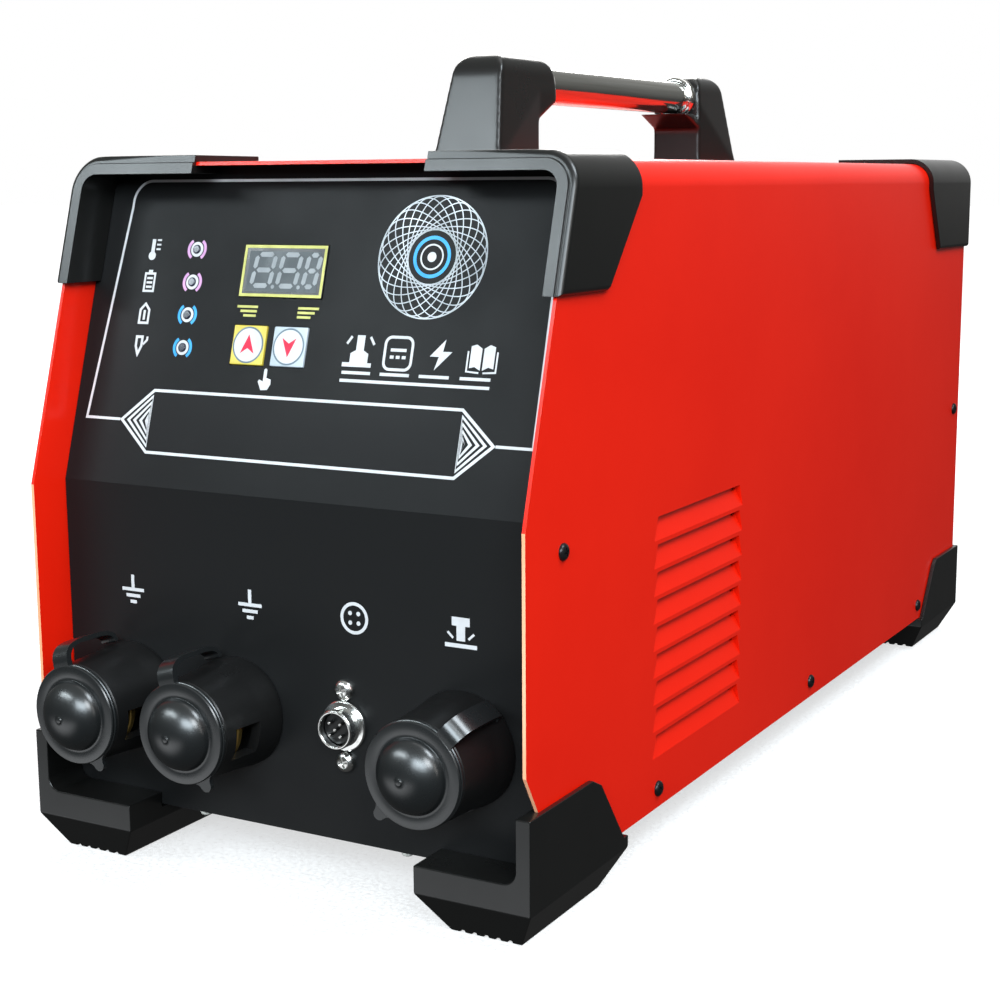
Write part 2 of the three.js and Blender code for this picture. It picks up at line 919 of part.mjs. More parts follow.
// Earth stud with its nut
function earthStud() {
  const face = rearFace + seat
  const stud = rod(earthRadius, rearFace - earthInside, face + earthReach, smallSteps)
  const nut = new THREE.Shape()
  for (let i = 0; i < nutSides; i++) {
    const turn = i * Math.PI * 2 / nutSides
    const corner = [earthNut * Math.cos(turn), earthNut * Math.sin(turn)]
    if (i === 0) nut.moveTo(...corner)
    else nut.lineTo(...corner)
  }
  nut.closePath()
  return moved(stud.add(alongY(nut, face, face + earthNutDepth)), earthAcross, 0, earthLevel)
}

// Capacitor bank: rows of cans under one bus board
function capacitorBank() {
  const low = floorLevel + seat
  const cans = []
  for (let row = 0; row < canRows; row++) {
    for (let i = 0; i < canRow; i++) {
      const can = new THREE.CylinderGeometry(canRadius, canRadius, canHeight, smallSteps)
      can.rotateX(quarter).translate(canLeft + row * canPitch, canFirst + i * canPitch, low + canHeight / 2)
      cans.push(solidOf(can))
    }
  }
  const last = canFirst + (canRow - 1) * canPitch
  const board = block(
    canLeft - canRadius, canRight + canRadius,
    canFirst - canRadius, last + canRadius,
    low + canHeight - canBoard, low + canHeight + canBoard)
  return joined(board, ...cans)
}

// Transformer: laminated core with two windows, and the coil round its middle limb
function transformerCore() {
  const low = floorLevel + seat
  const body = block(-coreHalf, coreHalf, coreFront, coreBack, low, low + coreHeight)
  const window = (left) => block(
    left, left + coreWindow, coreFront - overrun, coreBack + overrun,
    low + coreLimb, low + coreHeight - coreLimb)
  return body.subtract(window(coreLimb)).subtract(window(-coreLimb - coreWindow))
}

function transformerCoil() {
  const low = floorLevel + seat + coreLimb + seat
  const high = floorLevel + coreHeight - coreLimb
  const outer = block(
    -coilRadius, coilRadius, coreFront - coilRadius / 2, coreBack + coilRadius / 2, low, high)
  return outer.subtract(block(
    -coreLimb - seat, coreLimb + seat, coreFront - seat, coreBack + seat,
    low - overrun, high + overrun))
}

// Heat sink on the tray
function heatSink() {
  const low = floorLevel + seat
  let solid = block(sinkLeft, sinkRight, sinkFront, sinkBack, low + sinkFin, low + sinkFin + sinkBase)
  const pitch = (sinkRight - sinkLeft - finSheet) / (finCount - 1)
  for (let i = 0; i < finCount; i++) {
    const left = sinkLeft + i * pitch
    solid = solid.add(block(left, left + finSheet, sinkFront, sinkBack, low, low + sinkFin + sinkBase))
  }
  return solid
}

// Power board over the heat sink, standing on its switching modules
function powerBoard() {
  const low = floorLevel + seat + sinkFin + sinkBase + seat
  const board = block(
    sinkLeft, sinkRight, sinkFront, sinkBack, low + powerGap, low + powerGap + powerSheet)
  const modules = moduleShares.map((share) => {
    const near = sinkFront + share * (sinkBack - sinkFront)
    const middle = (sinkLeft + sinkRight) / 2
    return block(
      middle - moduleWidth / 2, middle + moduleWidth / 2, near, near + moduleLength,
      low, low + powerGap + powerSheet)
  })
  return joined(board, ...modules.slice(0, moduleCount))
}

// Handle post as at the front end, its upper part reaching over the tube's end or, without a
// reach, its face carrying a shelf that runs out under the tube
function handlePost(reach) {
  const low = coverTop + seat
  const top = coverTop + postHeight
  const outer = handleMiddle - handleHalf
  const inner = outer + postLength
  const face = inner + reach
  const axis = coverTop + tubeLevel
  const grooveEnd = face + seat + ringWidth + seat
  const side = new THREE.Shape()
  side.moveTo(outer, low)
  side.lineTo(outer + postLean, top - postRound)
  side.quadraticCurveTo(outer + postLean + postCrown, top, outer + postLean + postRound, top)
  side.lineTo(face - postRound, top)
  side.quadraticCurveTo(face, top, face, top - postRound)
  if (reach > 0) {
    side.lineTo(face, coverTop + postUnderHigh)
  } else {
    side.lineTo(face, axis - ringRadius - seat)
    side.lineTo(grooveEnd, axis - ringRadius - seat)
    side.lineTo(grooveEnd, axis - tubeRadius - seat)
    side.lineTo(inner + shelfReach, axis - tubeRadius - seat)
  }
  side.lineTo(inner, coverTop + postUnderLow)
  side.lineTo(inner, low)
  side.closePath()
  const front = new THREE.Shape()
  front.moveTo(-postHalf, low)
  front.lineTo(postHalf, low)
  front.lineTo(postHalfTop, top - postShoulder)
  front.quadraticCurveTo(postHalfTop, top, postHalfTop - postShoulder, top)
  front.lineTo(postShoulder - postHalfTop, top)
  front.quadraticCurveTo(-postHalfTop, top, -postHalfTop, top - postShoulder)
  front.closePath()
  const plan = outline([
    [-postHalf, outer],
    [postHalf, outer],
    [postHalfInner, inner],
    [postHalfInner, inner + postLength],
    [-postHalfInner, inner + postLength],
    [-postHalfInner, inner]
  ])
  const bore = moved(rod(tubeRadius + seat, face - tubeInsert - seat, face + overrun), 0, 0, axis)
  return alongX(side, -postHalf, postHalf)
    .intersect(alongY(front, outer, inner + postLength))
    .intersect(alongZ(plan, low, top))
    .subtract(bore)
}

// Chrome tube of the handle, its ends inside the posts
function handleTube() {
  const half = handleHalf - postLength + tubeInsert
  return moved(
    rod(tubeRadius, handleMiddle - half + postReach, handleMiddle + half), 0, 0, coverTop + tubeLevel)
}

// Chrome ring where the tube enters the post of the front end
function handleRing(reach) {
  const near = handleMiddle - handleHalf + postLength + reach + seat
  const back = near + ringWidth
  const bore = tubeRadius + seat
  return moved(turned([
    [bore, near],
    [ringRadius, near],
    [ringRadius, back - ringEdge],
    [ringRadius - ringEdge, back],
    [bore, back],
    [bore, near]
  ], smallSteps + cornerSteps), 0, 0, coverTop + tubeLevel)
}

// Colour, roughness and metalness of the material slots
const finishes = {
  cover_paint: [0xd82c16, 0.32, 0],
  panel_paint: [0x262628, 0.5, 0],
  moulding: [0x1f1f1d, 0.45, 0],
  chrome: [0xd8dadc, 0.12, 1],
  brass: [0xb8913c, 0.3, 1],
  rubber: [0x17191a, 0.6, 0],
  window: [0x6c7378, 0.2, 0],
  key_yellow: [0xe6cf52, 0.35, 0],
  key_pale: [0xd5dde2, 0.35, 0],
  lamp_pink: [0xd9a3cf, 0.3, 0],
  lamp_blue: [0x3fa3d6, 0.3, 0],
  connector_metal: [0xc9ccd0, 0.3, 1],
  insulator: [0x121212, 0.5, 0],
  board: [0x2c6b3c, 0.5, 0],
  tray_steel: [0x8b8d90, 0.4, 1],
  can_sleeve: [0x20304e, 0.35, 0],
  core_steel: [0x5d5f62, 0.45, 1],
  copper: [0xa35a2c, 0.35, 0.8],
  sink_metal: [0xb9bcbf, 0.4, 1],
  fan_plastic: [0x161616, 0.5, 0],
  switch_plastic: [0x101010, 0.4, 0],
  rocker_plastic: [0xa81b16, 0.3, 0],
  gland_plastic: [0x141414, 0.5, 0]
}

const group = new THREE.Group()

function place(name, slot, solid) {
  const [color, roughness, metalness] = finishes[slot]
  const material = new THREE.MeshStandardMaterial({ name: slot, color, roughness, metalness })
  const mesh = new THREE.Mesh(geometryOf(solid), material)
  mesh.name = name
  group.add(mesh)
}

place('cover', 'cover_paint', cover())
place('front_panel', 'panel_paint', frontPanel())
place('rear_panel', 'panel_paint', rearPanel())
place('base_tray', 'tray_steel', baseTray())

const frontBumper = bumper(aheadOfFront, frontPatchTop, frontPatchLow)
const rearBumper = mirroredAlong(bumper(aheadOfUpright, rearPatchTop, rearPatchLow), caseLength / 2)
place('bumper_front_right', 'moulding', frontBumper)
place('bumper_front_left', 'moulding', mirroredAcross(frontBumper))
place('bumper_rear_right', 'moulding', rearBumper)
place('bumper_rear_left', 'moulding', mirroredAcross(rearBumper))

const frontFoot = foot(aheadOfFront, frontFootTop, frontFootCorner, frontFootLow)
const rearFoot = mirroredAlong(foot(aheadOfUpright, rearFootTop, rearFootCorner, rearFootLow), caseLength / 2)
place('foot_front_right', 'moulding', frontFoot)
place('foot_front_left', 'moulding', mirroredAcross(frontFoot))
place('foot_rear_right', 'moulding', rearFoot)
place('foot_rear_left', 'moulding', mirroredAcross(rearFoot))

place('handle_post_front', 'moulding', handlePost(postReach))
place('handle_post_rear', 'moulding', mirroredAlong(handlePost(0), handleMiddle))
place('handle_tube', 'chrome', handleTube())
place('handle_ring_front', 'chrome', handleRing(postReach))
place('handle_ring_rear', 'chrome', mirroredAlong(handleRing(0), handleMiddle))

place('display_window', 'window', displayWindow())
place('key_more', 'key_yellow', key(keySpots[0]))
place('key_less', 'key_pale', key(keySpots[1]))
for (let i = 0; i < lampCount; i++) {
  place(`lamp_${i + 1}`, i < lampCount / 2 ? 'lamp_pink' : 'lamp_blue', lamp(i))
}
place('panel_board', 'board', panelBoard())

const socketNames = ['left', 'middle', 'right']
socketNames.forEach((name, i) => {
  place(`socket_${name}`, 'insulator', socketBarrel(socketSpots[i], strapAngles[i]))
  place(`contact_${name}`, 'brass', socketContact(socketSpots[i]))
  place(`dust_cap_${name}`, 'rubber', dustCap(socketSpots[i], strapAngles[i], tabAngles[i]))
})
place('connector_shell', 'connector_metal', connectorShell())
place('connector_insert', 'insulator', connectorInsert())

place('fan_frame', 'fan_plastic', fanFrame())
place('fan_rotor', 'fan_plastic', fanRotor())
place('fan_guard', 'chrome', fanGuard())
place('switch_body', 'switch_plastic', switchBody())
place('switch_rocker', 'rocker_plastic', switchRocker())
place('cord_gland', 'gland_plastic', cordGland())
place('earth_stud', 'brass', earthStud())

place('capacitor_bank', 'can_sleeve', capacitorBank())
place('transformer_core', 'core_steel', transformerCore())
place('transformer_coil', 'copper', transformerCoil())
place('heat_sink', 'sink_metal', heatSink())
place('power_board', 'board', powerBoard())

// Centre the machine over the origin
const bounds = new THREE.Box3().setFromObject(group)
const middle = bounds.getCenter(new THREE.Vector3())
for (const mesh of group.children) {
  mesh.geometry.translate(-middle.x, -middle.y, -bounds.min.z)
  mesh.geometry = mesh.geometry.toNonIndexed()
  mesh.geometry.computeVertexNormals()
}

export default group
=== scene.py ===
import math
import bpy
from mathutils import Matrix, Vector


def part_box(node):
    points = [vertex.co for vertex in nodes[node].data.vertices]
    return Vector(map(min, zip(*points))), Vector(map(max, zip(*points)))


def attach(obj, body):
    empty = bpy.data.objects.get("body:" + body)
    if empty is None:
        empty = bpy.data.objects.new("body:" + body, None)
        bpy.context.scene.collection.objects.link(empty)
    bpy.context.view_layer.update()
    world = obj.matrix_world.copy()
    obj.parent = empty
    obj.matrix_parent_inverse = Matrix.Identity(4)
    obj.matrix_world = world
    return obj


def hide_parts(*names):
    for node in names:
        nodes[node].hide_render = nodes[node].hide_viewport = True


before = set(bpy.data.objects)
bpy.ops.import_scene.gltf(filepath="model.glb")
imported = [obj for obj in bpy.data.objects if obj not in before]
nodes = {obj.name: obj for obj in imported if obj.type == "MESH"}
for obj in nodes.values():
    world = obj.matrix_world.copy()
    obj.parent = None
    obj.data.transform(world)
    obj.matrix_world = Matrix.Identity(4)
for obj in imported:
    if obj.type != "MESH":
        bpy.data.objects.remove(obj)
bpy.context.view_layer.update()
bpy.ops.object.select_all(action="DESELECT")

# Camera: it stands to the right of the machine's front, a little above its top, and looks
# slightly down on it.
eye = bpy.data.cameras.new("camera")
eye.lens = 64.8
eye.sensor_width = 36
camera = bpy.data.objects.new("camera", eye)
bpy.context.collection.objects.link(camera)
camera.location = (0.4440, -0.8760, 0.2999)
turned_right = Matrix.Rotation(math.radians(29.36), 4, "Z")
tipped_down = Matrix.Rotation(math.radians(80.01), 4, "X")
rolled = Matrix.Rotation(math.radians(-0.37), 4, "Z")
camera.rotation_euler = (turned_right @ tipped_down @ rolled).to_euler()
bpy.context.scene.camera = camera

# Studio: a white sweep under and behind the machine, two broad cool soft boxes in front of it,
# small ones high at the left and right, one above and one behind. What shines mirrors a dim
# sky, with the white backdrop at the back and the lit floor at the front.
scene = bpy.context.scene
scene.view_settings.view_transform = "Standard"
scene.view_settings.look = "None"
scene.view_settings.exposure = 0
sky = bpy.data.worlds.new("studio")
scene.world = sky
sky.use_nodes = True
sky_nodes = sky.node_tree.nodes
sky_links = sky.node_tree.links
sky_nodes.clear()
heading = sky_nodes.new("ShaderNodeTexCoord").outputs["Generated"]
parts = sky_nodes.new("ShaderNodeSeparateXYZ")
sky_links.new(heading, parts.inputs["Vector"])


def fade(value, low, high, start=0, end=1):
    """A soft step from start to end while a value goes from low to high."""
    step = sky_nodes.new("ShaderNodeMapRange")
    step.interpolation_type = "SMOOTHSTEP"
    step.inputs["From Min"].default_value = low
    step.inputs["From Max"].default_value = high
    step.inputs["To Min"].default_value = start
    step.inputs["To Max"].default_value = end
    sky_links.new(value, step.inputs["Value"])
    return step.outputs["Result"]


def product(one, two):
    """Two values multiplied."""
    both = sky_nodes.new("ShaderNodeMath")
    both.operation = "MULTIPLY"
    sky_links.new(one, both.inputs[0])
    sky_links.new(two, both.inputs[1])
    return both.outputs["Value"]


def towards(direction):
    """How much the sky's direction agrees with another."""
    along = sky_nodes.new("ShaderNodeVectorMath")
    along.operation = "DOT_PRODUCT"
    along.inputs[1].default_value = direction
    sky_links.new(heading, along.inputs[0])
    return along.outputs["Value"]


def laid_over(share, under, colour):
    """A colour laid over what is under it, by a share."""
    mixed = sky_nodes.new("ShaderNodeMix")
    mixed.data_type = "RGBA"
    mixed.inputs["B"].default_value = colour
    sky_links.new(share, mixed.inputs["Factor"])
    sky_links.new(under, mixed.inputs["A"])
    return mixed.outputs["Result"]


height = sky_nodes.new("ShaderNodeMapRange")
height.inputs["From Min"].default_value = -1
height.inputs["From Max"].default_value = 1
sky_links.new(parts.outputs["Z"], height.inputs["Value"])
bands = sky_nodes.new("ShaderNodeValToRGB")
bands.color_ramp.elements[0].position = 0.44
bands.color_ramp.elements[0].color = (0.06, 0.06, 0.06, 1)
bands.color_ramp.elements[1].position = 0.97
bands.color_ramp.elements[1].color = (0.40, 0.41, 0.40, 1)
for level, tone in ((0.50, (0.10, 0.10, 0.095, 1)), (0.80, (0.22, 0.225, 0.215, 1))):
    bands.color_ramp.elements.new(level).color = tone
sky_links.new(height.outputs["Result"], bands.inputs["Fac"])
behind = fade(towards((-0.49, 0.87, 0)), 0.62, 0.95)
level_band = product(fade(parts.outputs["Z"], -0.04, 0.05), fade(parts.outputs["Z"], 0.22, 0.52, 1, 0))
backdrop = laid_over(product(behind, level_band), bands.outputs["Color"], (1, 1, 1, 1))
in_front = fade(towards((-0.58, -0.815, 0)), 0.72, 0.90)
below = fade(parts.outputs["Z"], -0.24, -0.38)
floor_glow = laid_over(product(in_front, below), backdrop, (1.7, 1.75, 1.8, 1))
shed = sky_nodes.new("ShaderNodeBackground")
sky_links.new(floor_glow, shed.inputs["Color"])
seen = sky_nodes.new("ShaderNodeBackground")
seen.inputs["Color"].default_value = (1, 1, 1, 1)
direct = sky_nodes.new("ShaderNodeLightPath")
choose = sky_nodes.new("ShaderNodeMixShader")
sky_out = sky_nodes.new("ShaderNodeOutputWorld")
sky_links.new(direct.outputs["Is Camera Ray"], choose.inputs["Fac"])
sky_links.new(shed.outputs["Background"], choose.inputs[1])
sky_links.new(seen.outputs["Background"], choose.inputs[2])
sky_links.new(choose.outputs["Shader"], sky_out.inputs["Surface"])


def soft_box(name, place, aim, width, tall, power, colour):
    """A square studio light that looks at a point."""
    lamp = bpy.data.lights.new(name, "AREA")
    lamp.shape = "RECTANGLE"
    lamp.size = width
    lamp.size_y = tall
    lamp.energy = power
    lamp.color = colour
    holder = bpy.data.objects.new(name, lamp)
    bpy.context.collection.objects.link(holder)
    holder.location = place
    holder.rotation_euler = (Vector(aim) - Vector(place)).to_track_quat("-Z", "Y").to_euler()
    return holder


def twin_box(name, *setting):
    """Two equal lights in one place: one for most pieces, one for those that would glare."""
    return [soft_box(f"{name}_{role}", *setting) for role in ("box", "fill")]


twins = [
    twin_box("front", (0.55, -2.25, 0.98), (-0.05, -0.2, 0.20), 1.3, 0.75, 46, (0.80, 0.92, 1.0)),
    twin_box("corner", (1.35, -1.55, 1.25), (0, -0.25, 0.15), 0.8, 0.7, 30, (0.88, 0.95, 1.0))]
soft_box("high_left_box", (-0.98, -1.90, 1.28), (0, -0.2, 0.30), 0.70, 0.26, 13, (0.84, 0.95, 1.0))
soft_box("left_box", (-1.52, -1.64, 1.23), (-0.1, -0.27, 0.27), 0.42, 0.36, 8, (0.84, 0.95, 1.0))
soft_box("window", (1.05, -0.15, 1.70), (0.05, -0.2, 0.1), 0.7, 0.7, 25, (0.84, 0.93, 1.0))
soft_box("right_box", (1.90, -0.75, 0.95), (0.1, 0, 0.12), 0.25, 1.2, 4, (1.0, 0.97, 0.93))
soft_box("top_box", (0.1, 0.5, 2.2), (0, 0, 0.2), 1.4, 1.4, 6, (1, 1, 1))
soft_box("rear_box", (-1.15, 1.75, 1.45), (0, 0, 0.15), 1.4, 1.0, 36, (1.0, 0.99, 0.97))

bpy.ops.mesh.primitive_plane_add(size=40, location=(0, 0, -0.0002))
sweep = bpy.context.object
sweep.name = "sweep"
sweep_paint = bpy.data.materials.new("sweep_white")
sweep_paint.use_nodes = True
sweep_nodes = sweep_paint.node_tree.nodes
sweep_links = sweep_paint.node_tree.links
sweep_shader = sweep_nodes["Principled BSDF"]
sweep_shader.inputs["Roughness"].default_value = 0.9
sweep_shader.inputs["Specular IOR Level"].default_value = 0
sweep_shader.inputs["Emission Color"].default_value = (1, 1, 1, 1)
# The sweep glows, least within half a metre of the machine and most beyond 1.4 m: a painted shade on the
# floor round the machine's base, fading out far off to meet the white backdrop.
sweep_glow = sweep_nodes.new("ShaderNodeMapRange")
sweep_glow.inputs["From Min"].default_value = 0.45
sweep_glow.inputs["From Max"].default_value = 1.4
sweep_glow.inputs["To Min"].default_value = 0.62
sweep_glow.inputs["To Max"].default_value = 1.05
sweep_reach = sweep_nodes.new("ShaderNodeVectorMath")
sweep_reach.operation = "LENGTH"
sweep_spot = sweep_nodes.new("ShaderNodeTexCoord")
sweep_grain = sweep_nodes.new("ShaderNodeTexNoise")
sweep_grain.inputs["Scale"].default_value = 500
sweep_tone = sweep_nodes.new("ShaderNodeValToRGB")
sweep_tone.color_ramp.elements[0].position = 0.35
sweep_tone.color_ramp.elements[0].color = (0.32, 0.32, 0.32, 1)
sweep_tone.color_ramp.elements[1].position = 0.65
sweep_tone.color_ramp.elements[1].color = (0.56, 0.56, 0.56, 1)
sweep_links.new(sweep_spot.outputs["Object"], sweep_grain.inputs["Vector"])
sweep_links.new(sweep_spot.outputs["Object"], sweep_reach.inputs[0])
sweep_links.new(sweep_reach.outputs["Value"], sweep_glow.inputs["Value"])
sweep_links.new(sweep_glow.outputs["Result"], sweep_shader.inputs["Emission Strength"])
sweep_links.new(sweep_grain.outputs["Fac"], sweep_tone.inputs["Fac"])
sweep_links.new(sweep_tone.outputs["Color"], sweep_shader.inputs["Base Color"])
sweep.data.materials.append(sweep_paint)
sweep.visible_glossy = False
sweep.visible_diffuse = False


# Cover: one sheet of 1.5 mm steel folded over the top and both sides, with nine louvres
# pressed into each side. Orange-red gloss paint; held by black screws along its edges.
def coat(name, shade, other, rough, grain, depth, metal=0.0, gloss=0.5, drift=9.0, spread=0.08):
    """A finish whose colour and gloss drift over the piece, with a fine grain in its surface."""
    finish = bpy.data.materials.new(name)
    finish.use_nodes = True
    tree = finish.node_tree
    shader = tree.nodes["Principled BSDF"]
    shader.inputs["Metallic"].default_value = metal
    shader.inputs["Specular IOR Level"].default_value = gloss
    place = tree.nodes.new("ShaderNodeTexCoord")
    cloud = tree.nodes.new("ShaderNodeTexNoise")
    cloud.inputs["Scale"].default_value = drift
    cloud.inputs["Detail"].default_value = 5
    cloud.inputs["Roughness"].default_value = 0.6
    tint = tree.nodes.new("ShaderNodeValToRGB")
    tint.color_ramp.elements[0].position = 0.36
    tint.color_ramp.elements[0].color = (*other, 1)
    tint.color_ramp.elements[1].position = 0.64
    tint.color_ramp.elements[1].color = (*shade, 1)
    dull = tree.nodes.new("ShaderNodeMapRange")
    dull.inputs["From Min"].default_value = 0.3
    dull.inputs["From Max"].default_value = 0.7
    dull.inputs["To Min"].default_value = rough + spread
    dull.inputs["To Max"].default_value = rough - spread
    speck = tree.nodes.new("ShaderNodeTexNoise")
    speck.inputs["Scale"].default_value = grain
    speck.inputs["Detail"].default_value = 3
    relief = tree.nodes.new("ShaderNodeBump")
    relief.inputs["Strength"].default_value = 0.5
    relief.inputs["Distance"].default_value = depth
    tree.links.new(place.outputs["Object"], cloud.inputs["Vector"])
    tree.links.new(place.outputs["Object"], speck.inputs["Vector"])
    tree.links.new(cloud.outputs["Fac"], tint.inputs["Fac"])
    tree.links.new(cloud.outputs["Fac"], dull.inputs["Value"])
    tree.links.new(tint.outputs["Color"], shader.inputs["Base Color"])
    tree.links.new(dull.outputs["Result"], shader.inputs["Roughness"])
    tree.links.new(speck.outputs["Fac"], relief.inputs["Height"])
    tree.links.new(relief.outputs["Normal"], shader.inputs["Normal"])
    return finish


def alone(piece):
    """Selects one piece and nothing else."""
    bpy.ops.object.select_all(action="DESELECT")
    piece.select_set(True)
    bpy.context.view_layer.objects.active = piece


def round_edges(piece, edge, steps=2, sharp=32, smooth=31):
    """Eases every edge sharper than an angle, and shades what is nearly level as one surface."""
    alone(piece)
    ease = piece.modifiers.new("ease", "BEVEL")
    ease.width = edge
    ease.segments = steps
    ease.limit_method = "ANGLE"
    ease.angle_limit = math.radians(sharp)
    ease.use_clamp_overlap = True
    bpy.ops.object.modifier_apply(modifier=ease.name)
    bpy.ops.object.shade_smooth_by_angle(angle=math.radians(smooth))
    level = piece.modifiers.new("level", "WEIGHTED_NORMAL")
    level.keep_sharp = True
    level.weight = 90
    bpy.ops.object.modifier_apply(modifier=level.name)


def fitted(piece, finish, body="case"):
    """Gives a finished piece its material and the body it rides on."""
    piece.data.materials.clear()
    piece.data.materials.append(finish)
    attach(piece, body)
    return piece


def taken(node, name, level=0.0):
    """A copy of the node's own solid, its loose facets merged and those within an angle joined."""
    piece = nodes[node].copy()
    piece.data = piece.data.copy()
    piece.name = name
    piece.parent = None
    for key in list(piece.keys()):
        del piece[key]
    bpy.context.collection.objects.link(piece)
    alone(piece)
    bpy.ops.object.mode_set(mode="EDIT")
    bpy.ops.mesh.select_all(action="SELECT")
    bpy.ops.mesh.remove_doubles(threshold=0.00002)
    if level:
        bpy.ops.mesh.dissolve_limited(angle_limit=math.radians(level))
    bpy.ops.object.mode_set(mode="OBJECT")
    return piece


def outer_rim(piece, round_at=0.015, skin=0.0009, long_edge=0.010):
    """The corners at a corner cap's open end that lie on its outer skin."""
    spots = [vertex.co for vertex in piece.data.vertices]
    wide = max(abs(spot.x) for spot in spots)
    high = max(spot.z for spot in spots)
    outside = set()
    for edge in piece.data.edges:
        one, two = sorted(edge.vertices, key=lambda i: abs(spots[i].y))
        if abs(spots[two].y) - abs(spots[one].y) > long_edge:
            over_x = max(0, abs(spots[two].x) - wide + round_at)
            over_z = max(0, spots[two].z - high + round_at)
            if math.hypot(over_x, over_z) > round_at - skin:
                outside.add(two)
    return outside


def round_rim(piece, rim):
    """Rounds the outer edge of a corner cap's open end."""
    outside = outer_rim(piece)
    for part in (piece.data.vertices, piece.data.edges, piece.data.polygons):
        for item in part:
            item.select = False
    for edge in piece.data.edges:
        edge.select = all(i in outside for i in edge.vertices)
    bpy.ops.object.mode_set(mode="EDIT")
    bpy.ops.mesh.select_mode(type="EDGE")
    bpy.ops.mesh.bevel(offset=rim, segments=5, profile=0.5, clamp_overlap=False)
    bpy.ops.mesh.select_mode(type="VERT")
    bpy.ops.object.mode_set(mode="OBJECT")


def eased(node, name, finish, edge, body="case", steps=2, sharp=32, smooth=31, rim=0.0):
    """The node's own solid with its flat facets joined and its edges eased, its end rim more so."""
    piece = taken(node, name, level=0.6)
    if rim:
        round_rim(piece, rim)
    round_edges(piece, edge, steps, sharp, smooth)
    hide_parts(node)
    return fitted(piece, finish, body)


cover_paint = coat("cover_paint", (0.82, 0.014, 0.003), (0.77, 0.011, 0.002), 0.30, 420, 0.00003,
                   gloss=0.3, drift=6, spread=0.02)
# Pale orange-white coat for the cover's front edges: a painted highlight of the light catching the sheet's
# front edge.
edge_highlight = coat("cover_edge_highlight", (0.93, 0.50, 0.30), (0.90, 0.36, 0.18), 0.30, 900, 0.00002,
                  gloss=0.4, drift=14)
cover = eased("cover", "cover_sheet", cover_paint, 0.0005, steps=2, smooth=15)
cover.data.materials.append(edge_highlight)
cover_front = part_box("cover")[0].y
edge_depth = 0.045
edge_area = 0.0006
# Small forward-facing faces at the cover's front edge take the painted highlight.
for face in cover.data.polygons:
    if face.normal.y < -0.8 and face.center.y < cover_front + edge_depth and face.area < edge_area:
        face.material_index = 1

# Front and rear panels: sheet steel with folded edges, set back inside the cover's ends.
# Satin black powder coat; the front one leans back above the knee.
panel_black = coat("panel_black", (0.0092, 0.0094, 0.0096), (0.0080, 0.0082, 0.0084), 0.44, 1500, 0.00004,
                   gloss=0.13, drift=12)
eased("front_panel", "front_sheet", panel_black, 0.0003, smooth=15)
eased("rear_panel", "rear_sheet", panel_black, 0.0003, smooth=15)

# Corner bumpers and feet: moulded plastic caps pushed over the case's eight corners, charcoal,
# with soft edges and a fine moulded grain.
moulded = coat("moulded_plastic", (0.0066, 0.0066, 0.0062), (0.0054, 0.0054, 0.0050), 0.29, 1900, 0.00002,
               gloss=0.5, drift=20, spread=0.02)
moulded_edge = 0.0007
for end in ("front", "rear"):
    for side in ("right", "left"):
        eased(f"bumper_{end}_{side}", f"corner_{end}_{side}", moulded, moulded_edge, steps=3,
              rim=0.0024)
        eased(f"foot_{end}_{side}", f"shoe_{end}_{side}", moulded, moulded_edge, steps=3,
              sharp=22, smooth=20)

# Seen from behind, the cover's top and the rear bumpers would mirror the two broad lights at
# the front as white glare, so they take these lights as fill, without their gleam.
for box, fill in twins:
    fill.visible_glossy = False
    for light, share in ((box, "EXCLUDE"), (fill, "INCLUDE")):
        dulled = bpy.data.collections.new(f"dulled_for_{light.name}")
        for name in ("cover_sheet", "corner_rear_right", "corner_rear_left"):
            dulled.objects.link(bpy.data.objects[name])
        light.light_linking.receiver_collection = dulled
        for member in dulled.collection_objects:
            member.light_linking.link_state = share

# Handle: two moulded posts screwed to the cover's top, a chromed steel tube between them, and
# a chromed ring where the tube enters each post.
chromed = coat("chrome_plate", (0.84, 0.84, 0.82), (0.62, 0.61, 0.57), 0.12, 900, 0.000002,
               metal=1.0, drift=30, spread=0.03)
chromed_nodes = chromed.node_tree.nodes
chromed_links = chromed.node_tree.links
drawn = chromed_nodes.new("ShaderNodeMapping")
drawn.inputs["Scale"].default_value = (9, 0.25, 9)
chromed_links.new(chromed_nodes["Texture Coordinate"].outputs["Object"], drawn.inputs["Vector"])
chromed_links.new(drawn.outputs["Vector"], chromed_nodes["Noise Texture"].inputs["Vector"])
post_voxel = 0.0006
soft_from = 0.001
soft_over = 0.006
for end in ("front", "rear"):
    post = taken(f"handle_post_{end}", f"post_{end}")
    grid = post.modifiers.new("grid", "REMESH")
    grid.mode = "VOXEL"
    grid.voxel_size = post_voxel
    bpy.ops.object.modifier_apply(modifier=grid.name)
    base = min(vertex.co.z for vertex in post.data.vertices)
    softness = post.vertex_groups.new(name="softness")
    for vertex in post.data.vertices:
        share = (vertex.co.z - base - soft_from) / soft_over
        softness.add([vertex.index], min(1, max(0, share)), "REPLACE")
    soften = post.modifiers.new("soften", "SMOOTH")
    soften.factor = 0.5
    soften.iterations = 45
    soften.vertex_group = "softness"
    bpy.ops.object.modifier_apply(modifier=soften.name)
    post.vertex_groups.clear()
    bpy.ops.object.shade_smooth()
    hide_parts(f"handle_post_{end}")
    fitted(post, moulded)


